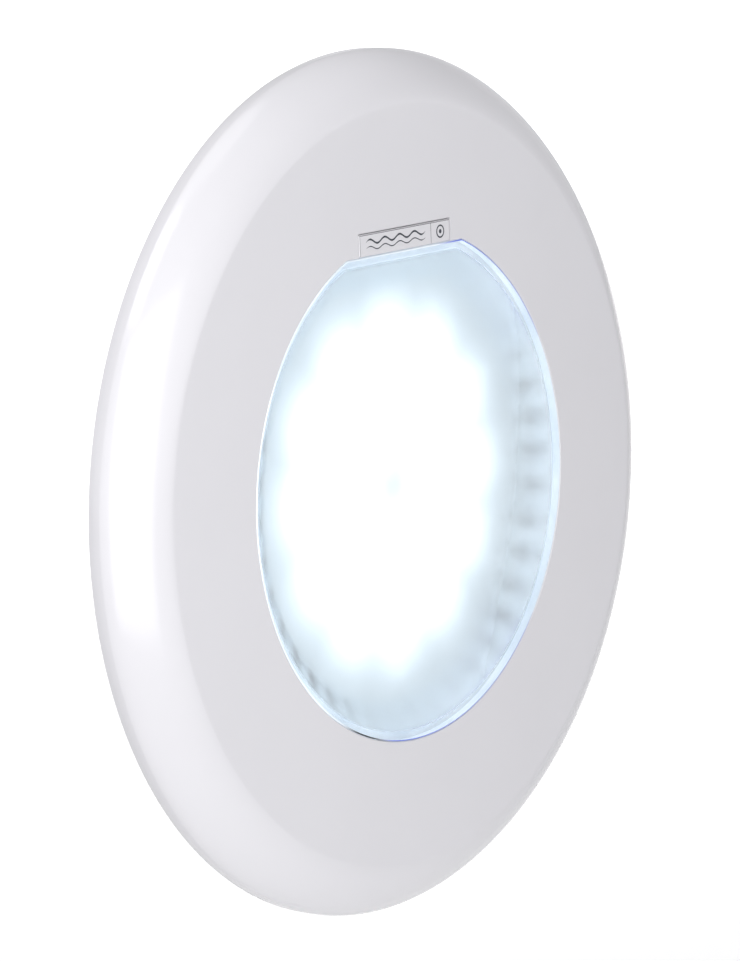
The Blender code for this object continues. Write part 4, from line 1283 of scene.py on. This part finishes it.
@dataclass
class LampBody:
    """The sealed cup behind the lens, its clamp ring, bayonet lugs, clips and cable gland."""

    lug_radius: float = 0.1024
    lug_span: float = math.radians(21)
    lug_count: int = 3

    def build(self) -> None:
        """Make the cup, ring, clips and gland."""
        self.build_ring()
        self.build_cup()
        self.build_clips()
        self.build_gland()

    def build_ring(self) -> None:
        """Make the clamp ring with its sunk screw seats and insert boss."""
        low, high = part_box("clamp_ring")
        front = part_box("faceplate")[0].y
        radius, back, gap = high.x, front + 0.0068, 0.0004
        loops = [
            (DEE.points(gap), low.y + 0.0003),
            (DEE.points(gap + 0.0003), low.y),
            (DEE.circle(radius - 0.0004), low.y),
            (DEE.circle(radius), low.y + 0.0004),
            (DEE.circle(radius), back),
            (DEE.points(gap), back),
        ]
        ring = loft("clamp_ring_moulded", loops, GREY_ABS)
        lock = [(0.0, 0.0796)]
        places = [polar(0.0912, math.pi / 2 + math.pi / 4 * (i + 0.5)) for i in range(8)]
        pegs = [(-0.016, 0.0796), (0.016, 0.0796)]
        combine(
            ring,
            join=[pins("insert_boss", lock, 0.0036, (front + 0.0050, high.y), 48)],
            cut=[
                pins("boss_room", lock, 0.0056, (low.y - 0.001, front + 0.0048), 48),
                pins("insert_room", lock, 0.0027, (front + 0.0040, high.y + 0.001)),
                pins("head_seats", places, 0.0029, (low.y - 0.001, front + 0.0054)),
                pins("screw_holes", places, 0.0018, (low.y, back + 0.001)),
                pins("peg_seats", pegs, 0.0020, (low.y - 0.001, front + 0.0048)),
            ],
        )
        settle(ring, "lamp", "housing_abs", "clamp_ring")

    def build_cup(self) -> None:
        """Make the cup and its three lugs."""
        low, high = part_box("rear_housing")
        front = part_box("faceplate")[0].y
        radius, floor, seat = 0.0940, high.y - 0.0020, front + 0.0106
        section = soften(
            [
                (0.0885, low.y), (radius, low.y), (radius, high.y - 0.0015), (radius - 0.0015, high.y),
                (0.0800, high.y), (0.0795, high.y - 0.0006), (0.0765, high.y - 0.0006), (0.0760, high.y),
                (0.0103, high.y), (0.0103, floor), (0.0750, floor), (0.0765, floor - 0.0015),
                (0.0765, seat), (0.0885, seat),
            ],
            0.0005,
            3,
        )
        cup = turned("rear_cup", section, GREY_ABS, steps=192)
        settle(cup, "lamp", "housing_abs", "rear_housing")
        lug = sector("lug_unit", radius - 0.0010, self.lug_radius, self.lug_span, front + 0.0160, front + 0.0180)
        lugs = Pattern.round_axis("bayonet_lugs", lug, self.lug_count, 0.0, math.pi / 2, GREY_ABS)
        settle(lugs, "lamp", "housing_abs")
        for name, circle_radius, phase, top in (("tall", 0.0620, 30, 0.0128), ("short", 0.0440, 90, 0.0151)):
            head, foot = front + top, floor + 0.0004
            side = soften([(0.0015, head), (0.0038, head), (0.0042, foot), (0.0015, foot)], 0.0003, 2)
            pillar = turned(f"{name}_pillar_unit", side, steps=32)
            pillars = Pattern.round_axis(f"{name}_pillars", pillar, 3, circle_radius, math.radians(phase), GREY_ABS)
            settle(pillars, "lamp", "housing_abs")

    def build_clips(self) -> None:
        """Make the four bent clips that grip the blades of the cover."""
        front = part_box("faceplate")[0].y
        leaf, inner, outer, top, bottom = 0.0005, 0.0, 0.0036, front + 0.0066, front + 0.0129
        section = [(inner, top), (inner + leaf, top)]
        for i in range(7):
            t = math.pi * i / 6
            middle, bend = (inner + leaf + outer) / 2, (outer - inner - leaf) / 2
            section.append((middle - bend * math.cos(t), bottom - 0.0024 + (0.0024 - leaf) * math.sin(t)))
        section += [(outer, top), (outer + leaf, top - 0.0008)]
        for i in range(7):
            t = math.pi * i / 6
            middle, bend = (inner + outer + leaf) / 2, (outer + leaf - inner) / 2
            section.append((middle + bend * math.cos(t), bottom - 0.0024 + 0.0024 * math.sin(t)))
        unit = strip("clip_unit", section, 0.0075)
        clips = Pattern.round_axis("grip_clips", unit, 4, 0.0944, math.pi / 4, SPRING_STEEL, 50.0)
        settle(clips, "lamp", "stainless_steel", *[f"grip_clip_{i}" for i in range(1, 5)])

    def build_gland(self) -> None:
        """Make the gland's collar and domed nut, and its seal."""
        steps, nylon = 96, BLACK_NYLON
        low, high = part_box("gland_body")
        bore, thread = 0.0050, 0.0100
        edge = 0.0007
        loops = [(circle(bore, steps), low.y), (circle(thread - 0.0004, steps), low.y)]
        loops += [(circle(thread, steps), low.y + 0.0005)]
        loops += [(circle(thread, steps), -0.0007), (hexagon(0.0130, steps), -0.0007), (hexagon(0.0136, steps), edge)]
        loops += [(hexagon(0.0136, steps), 0.0036), (hexagon(0.0130, steps), 0.0042)]
        loops += [(circle(thread * 0.9, steps), 0.0042)]
        y = 0.0046
        while y < 0.0108:
            loops += [(circle(thread * 0.93, steps), y), (circle(thread, steps), y + 0.0007)]
            y += 0.0014
        loops += [(circle(thread * 0.93, steps), 0.0118), (circle(0.0072, steps), 0.0118)]
        loops += [(circle(0.0072, steps), 0.0052), (circle(bore, steps), 0.0052)]
        settle(loft("gland_body_moulded", loops, nylon), "lamp", "gland_nylon", "gland_body")
        low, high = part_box("gland_nut")
        inside, end = 0.0103, high.y
        loops = [(circle(inside, steps), low.y), (hexagon(0.0128, steps), low.y)]
        loops += [(hexagon(0.0134, steps), low.y + 0.0006)]
        loops += [(hexagon(0.0134, steps), 0.0120), (hexagon(0.0126, steps), 0.0127), (circle(0.0112, steps), 0.0136)]
        for i in range(9):
            t = math.pi / 2 * i / 8
            loops.append((circle(0.0074 + 0.0036 * math.cos(t), steps), 0.0140 + (end - 0.0140) * math.sin(t)))
        loops += [(circle(0.0056, steps), end), (circle(bore, steps), end - 0.0005), (circle(bore, steps), 0.0145)]
        loops += [(circle(0.0072, steps), 0.0134), (circle(inside, steps), 0.0134)]
        settle(loft("gland_nut_moulded", loops, nylon), "lamp", "gland_nylon", "gland_nut")
        low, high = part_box("gland_seal")
        section = soften([(bore, low.y), (high.x, low.y), (high.x, high.y), (bore, high.y)], 0.0005)
        settle(turned("gland_seal_moulded", section, EPDM, steps=96), "lamp", "rubber", "gland_seal")


# ============================================================================ the wall bracket
@dataclass
class Bracket:
    """The plate on the wall: four ears, three hooks, drain holes and the conduit spigot."""

    radius: float = 0.1080
    ear_circle: float = 0.1110
    ear_radius: float = 0.0085
    ears: tuple[float, ...] = (65.0, 115.0, 245.0, 295.0)
    bore: float = 0.0250
    spigot: float = 0.0280
    groove: tuple[float, float] = (0.0128, 0.0162)
    hook_span: float = math.radians(21.8)

    def angles(self) -> list[float]:
        """Give the directions of the outline's points, closer together round the ears."""
        found: list[float] = []
        half = math.asin(self.ear_radius / self.ear_circle)
        ears = [math.radians(a) for a in self.ears]
        for ear, following in zip(ears, ears[1:] + [ears[0] + 2 * math.pi]):
            found += [ear - half + 2 * half * i / 28 for i in range(29)]
            first, last = ear + half + 0.001, following - half - 0.001
            steps = math.ceil((last - first) / math.radians(1.5))
            found += [first + (last - first) * i / steps for i in range(steps + 1)]
        return found

    def reach(self, angle: float) -> float:
        """Give the plate's radius in one direction."""
        reach = self.radius
        for ear in (math.radians(a) for a in self.ears):
            off = self.ear_circle * math.sin(angle - ear)
            if abs(off) < self.ear_radius * 1.0001 and math.cos(angle - ear) > 0:
                rest = math.sqrt(max(0.0, self.ear_radius**2 - off**2))
                reach = max(reach, self.ear_circle * math.cos(angle - ear) + rest)
        return reach

    def build(self) -> None:
        """Make the plate, its hooks and the seal."""
        low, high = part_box("wall_bracket")
        face, end, angles = -0.0020, high.y, self.angles()
        outline = [polar(self.reach(a), a) for a in angles]
        inner = [polar(self.reach(a) - 0.0004, a) for a in angles]

        def ring(radius: float) -> list[Point]:
            """Give a circle on the outline's rays."""
            return [polar(radius, a) for a in angles]

        groove = self.spigot - 0.0014
        loops: list[Loop] = [
            (ring(self.bore + 0.0005), face), (ring(self.radius * 0.9), face), (inner, face), (outline, face + 0.0004),
            (outline, -0.0004), (inner, 0.0), (ring(self.radius * 0.9), 0.0), (ring(self.spigot + 0.0001), 0.0),
            (ring(self.spigot), self.groove[0]), (ring(groove), self.groove[0]), (ring(groove), self.groove[1]),
            (ring(self.spigot), self.groove[1]),
            (ring(self.spigot), end - 0.0024),
            (ring(self.spigot - 0.0010), end - 0.0003),
            (ring(self.spigot - 0.0014), end), (ring(self.bore + 0.0003), end), (ring(self.bore), end - 0.0003),
            (ring(self.bore), face + 0.0005),
        ]
        plate = loft("bracket_plate", loops, BRACKET_ABS)
        ears = [polar(self.ear_circle, math.radians(a)) for a in self.ears]
        drains = [polar(0.0620, math.pi / 6 * (i + 0.5)) for i in range(12)]
        span = (face - 0.001, 0.001)
        combine(
            plate,
            cut=[pins("ear_holes", ears, 0.0025, span), pins("drain_holes", drains, 0.0065, span, 48)],
        )
        settle(plate, "bracket", "bracket_abs", "wall_bracket")
        self.build_hooks(low.y, face)
        self.build_seal()

    def build_hooks(self, top: float, face: float) -> None:
        """Make the three hooks: a wall, a lip over the lug, and a stop."""
        grey, lip_back = BRACKET_ABS, top + 0.0020
        wall = sector("hook_wall_unit", 0.1032, 0.1062, self.hook_span, top, face + 0.0004)
        walls = Pattern.round_axis("hook_walls", wall, 3, 0.0, math.pi / 2, grey)
        settle(walls, "bracket", "bracket_abs")
        lip = sector("hook_lip_unit", 0.0966, 0.1058, self.hook_span - 0.002, top + 0.0001, lip_back)
        lips = Pattern.round_axis("hook_lips", lip, 3, 0.0, math.pi / 2, grey)
        settle(lips, "bracket", "bracket_abs")
        stop = sector("hook_stop_unit", 0.0966, 0.1060, math.radians(1.7), top + 0.0002, face + 0.0004)
        first = math.pi / 2 - self.hook_span / 2 - math.radians(0.7)
        stops = Pattern.round_axis("hook_stops", stop, 3, 0.0, first, grey)
        settle(stops, "bracket", "bracket_abs")

    def build_seal(self) -> None:
        """Make the O-ring round the spigot."""
        middle, thick = self.spigot + 0.0005, 0.0015
        centre = sum(self.groove) / 2
        turn = 2 * math.pi / 20
        section = [(middle + thick * math.cos(turn * i), centre + thick * math.sin(turn * i)) for i in range(20)]
        settle(turned("spigot_o_ring", section, EPDM, steps=144), "bracket", "rubber", "spigot_seal")


# ============================================================================ carried-over nodes
CARRIED: dict[str, Look] = {
    "lens_gasket": EPDM,
    "gland_washer": EPDM,
    "lock_insert": BRASS,
    "driver_board": GREEN_MASK,
    "led_lead_positive": RED_PVC,
    "led_lead_negative": BLACK_PVC,
    "gland_lock_nut": BLACK_NYLON,
    "detent_leaf": SPRING_STEEL,
    # The board screws carry the board's painted glow.
    **{f"led_board_screw_{i}": LIT_NYLON for i in range(1, 4)},
    **{f"driver_screw_{i}": STAINLESS for i in range(1, 4)},
}


def dress_carried() -> None:
    """Give each node that is shown as packed its own material."""
    for name, finish in CARRIED.items():
        node = frame["nodes"][name]
        node.data.materials.clear()
        node.data.materials.append(dressed(finish))
        LOG.info("%s wears %s", name, finish.name)


# ============================================================================ the studio
def direction(azimuth: float, elevation: float) -> Vector:
    """Give the unit vector from the light towards a place round it, from its angles in degrees."""
    a, e = math.radians(azimuth), math.radians(elevation)
    return Vector((math.sin(a) * math.cos(e), -math.cos(a) * math.cos(e), math.sin(e)))


@dataclass(frozen=True)
class SoftBox:
    """One soft box: its place round the light in degrees and metres, its size and its watts."""

    name: str
    azimuth: float
    elevation: float
    distance: float
    size: tuple[float, float]
    power: float


@dataclass
class Studio:
    """Pale floor, soft lamps and the camera.

    Attributes:
        azimuth: Camera's direction round the light, in degrees.
        elevation: Camera's height above the horizon, in degrees.
        roll: Turn of the picture, in degrees.
        distance: From the middle of the cover's face to the camera, in metres.
        lens: Focal length on a 36 mm sensor.
        shift: Shift of the picture, as shares of its long side.
    """

    azimuth: float = -53.4332
    elevation: float = 9.4364
    roll: float = -2.3101
    distance: float = 1.5052
    lens: float = 177.0
    shift: tuple[float, float] = (-0.0469, 0.0058)
    floor_z: float = -1.0
    boxes: tuple[SoftBox, ...] = (
        SoftBox("left_soft_box", -44.0, 7.0, 0.95, (0.98, 1.20), 9.15),
        SoftBox("upper_left_soft_box", -84.0, 56.0, 1.15, (0.55, 0.55), 4.4),
    )
    overhead_power: float = 0.5
    floor_power: float = 2130.0

    def build(self) -> None:
        """Make the floor, the sky, the lamps and the camera."""
        self.build_floor()
        self.build_sky()
        self.build_lamps()
        self.build_camera()

    def build_floor(self) -> None:
        """Make the plain pale floor."""
        mesh = bmesh.new()
        bmesh.ops.create_grid(mesh, x_segments=1, y_segments=1, size=30.0)
        floor = to_object("floor", mesh)
        floor.data.transform(Matrix.Translation((0.0, 0.0, self.floor_z)))
        material = bpy.data.materials.new("pale_studio_floor")
        material.use_nodes = True
        shader = material.node_tree.nodes["Principled BSDF"]
        shader.inputs["Base Color"].default_value = linear("FAFAFA")
        shader.inputs["Roughness"].default_value = 0.9
        shader.inputs["Specular IOR Level"].default_value = 0.1
        floor.data.materials.append(material)

    def build_sky(self) -> None:
        """Make the even white surroundings."""
        world = bpy.data.worlds.new("white_studio")
        bpy.context.scene.world = world
        world.use_nodes = True
        tree = world.node_tree
        background = tree.nodes["Background"]
        background.inputs["Color"].default_value = linear("FCFCFF")
        direction = add_node(tree, "ShaderNodeTexCoord").outputs["Generated"]
        split = add_node(tree, "ShaderNodeSeparateXYZ", {0: direction})
        fade = add_node(
            tree,
            "ShaderNodeMapRange",
            {0: split.outputs[2], 1: 0.08, 2: 0.5, 3: 0.80, 4: 0.12},
            interpolation_type="SMOOTHSTEP",
        )
        tree.links.new(fade.outputs[0], background.inputs["Strength"])

    def build_lamps(self) -> None:
        """Make the soft boxes, the weak overhead light and the light on the floor behind."""
        target = Vector((0.0, -0.02, 0.0))
        for box in self.boxes:
            back = direction(box.azimuth, box.elevation)
            lamp = self.area(box.name, box.size, box.power)
            lamp.location = target + back * box.distance
            lamp.rotation_euler = (-back).to_track_quat("-Z", "Y").to_euler()
        lamp = self.area("floor_light", (20.0, 16.0), self.floor_power)
        lamp.location = (10.5, 9.5, 4.5)
        lamp.visible_glossy = False
        data = bpy.data.lights.new("overhead_light", "SUN")
        data.energy, data.angle = self.overhead_power, math.radians(40.0)
        bpy.context.scene.collection.objects.link(bpy.data.objects.new("overhead_light", data))

    @staticmethod
    def area(name: str, size: tuple[float, float], power: float) -> Object:
        """Make a rectangular lamp that the camera doesn't see."""
        data = bpy.data.lights.new(name, "AREA")
        data.shape, data.energy = "RECTANGLE", power
        data.size, data.size_y = size
        lamp = bpy.data.objects.new(name, data)
        lamp.visible_camera = False
        bpy.context.scene.collection.objects.link(lamp)
        return lamp

    def build_camera(self) -> None:
        """Make the camera that looks at the middle of the cover's face."""
        a, r = math.radians(self.azimuth), math.radians(self.roll)
        back = direction(self.azimuth, self.elevation)
        right = Vector((math.cos(a), math.sin(a), 0.0))
        up = back.cross(right)
        across = right * math.cos(r) + up * math.sin(r)
        above = up * math.cos(r) - right * math.sin(r)
        target = Vector((0.0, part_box("faceplate")[0].y, 0.0))
        data = bpy.data.cameras.new("camera")
        data.sensor_width, data.lens = 36.0, self.lens
        data.shift_x, data.shift_y = self.shift
        camera = bpy.data.objects.new("camera", data)
        rows = Matrix((across, above, back)).transposed().to_4x4()
        camera.matrix_world = Matrix.Translation(target + back * self.distance) @ rows
        bpy.context.scene.collection.objects.link(camera)
        bpy.context.scene.camera = camera
        bpy.context.scene.view_settings.view_transform = "Standard"


# ============================================================================ the whole light
def clear_startup() -> None:
    """Remove what the start-up file holds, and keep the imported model."""
    keep = set(frame["nodes"].values()) | set(frame["bodies"].values())
    for thing in [o for o in bpy.data.objects if o not in keep]:
        bpy.data.objects.remove(thing, do_unlink=True)


def main() -> None:
    """Build the light and its studio, piece by piece."""
    logging.basicConfig(level=logging.INFO, format="%(message)s")
    clear_startup()
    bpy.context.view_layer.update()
    cover = Cover()
    cover.build_shell()
    cover.build_ribs()
    Badge().build()
    Optics().build()
    LampBody().build()
    Fixings().build()
    Bracket().build()
    dress_carried()
    Studio().build()


if __name__ == "__main__":
    main()
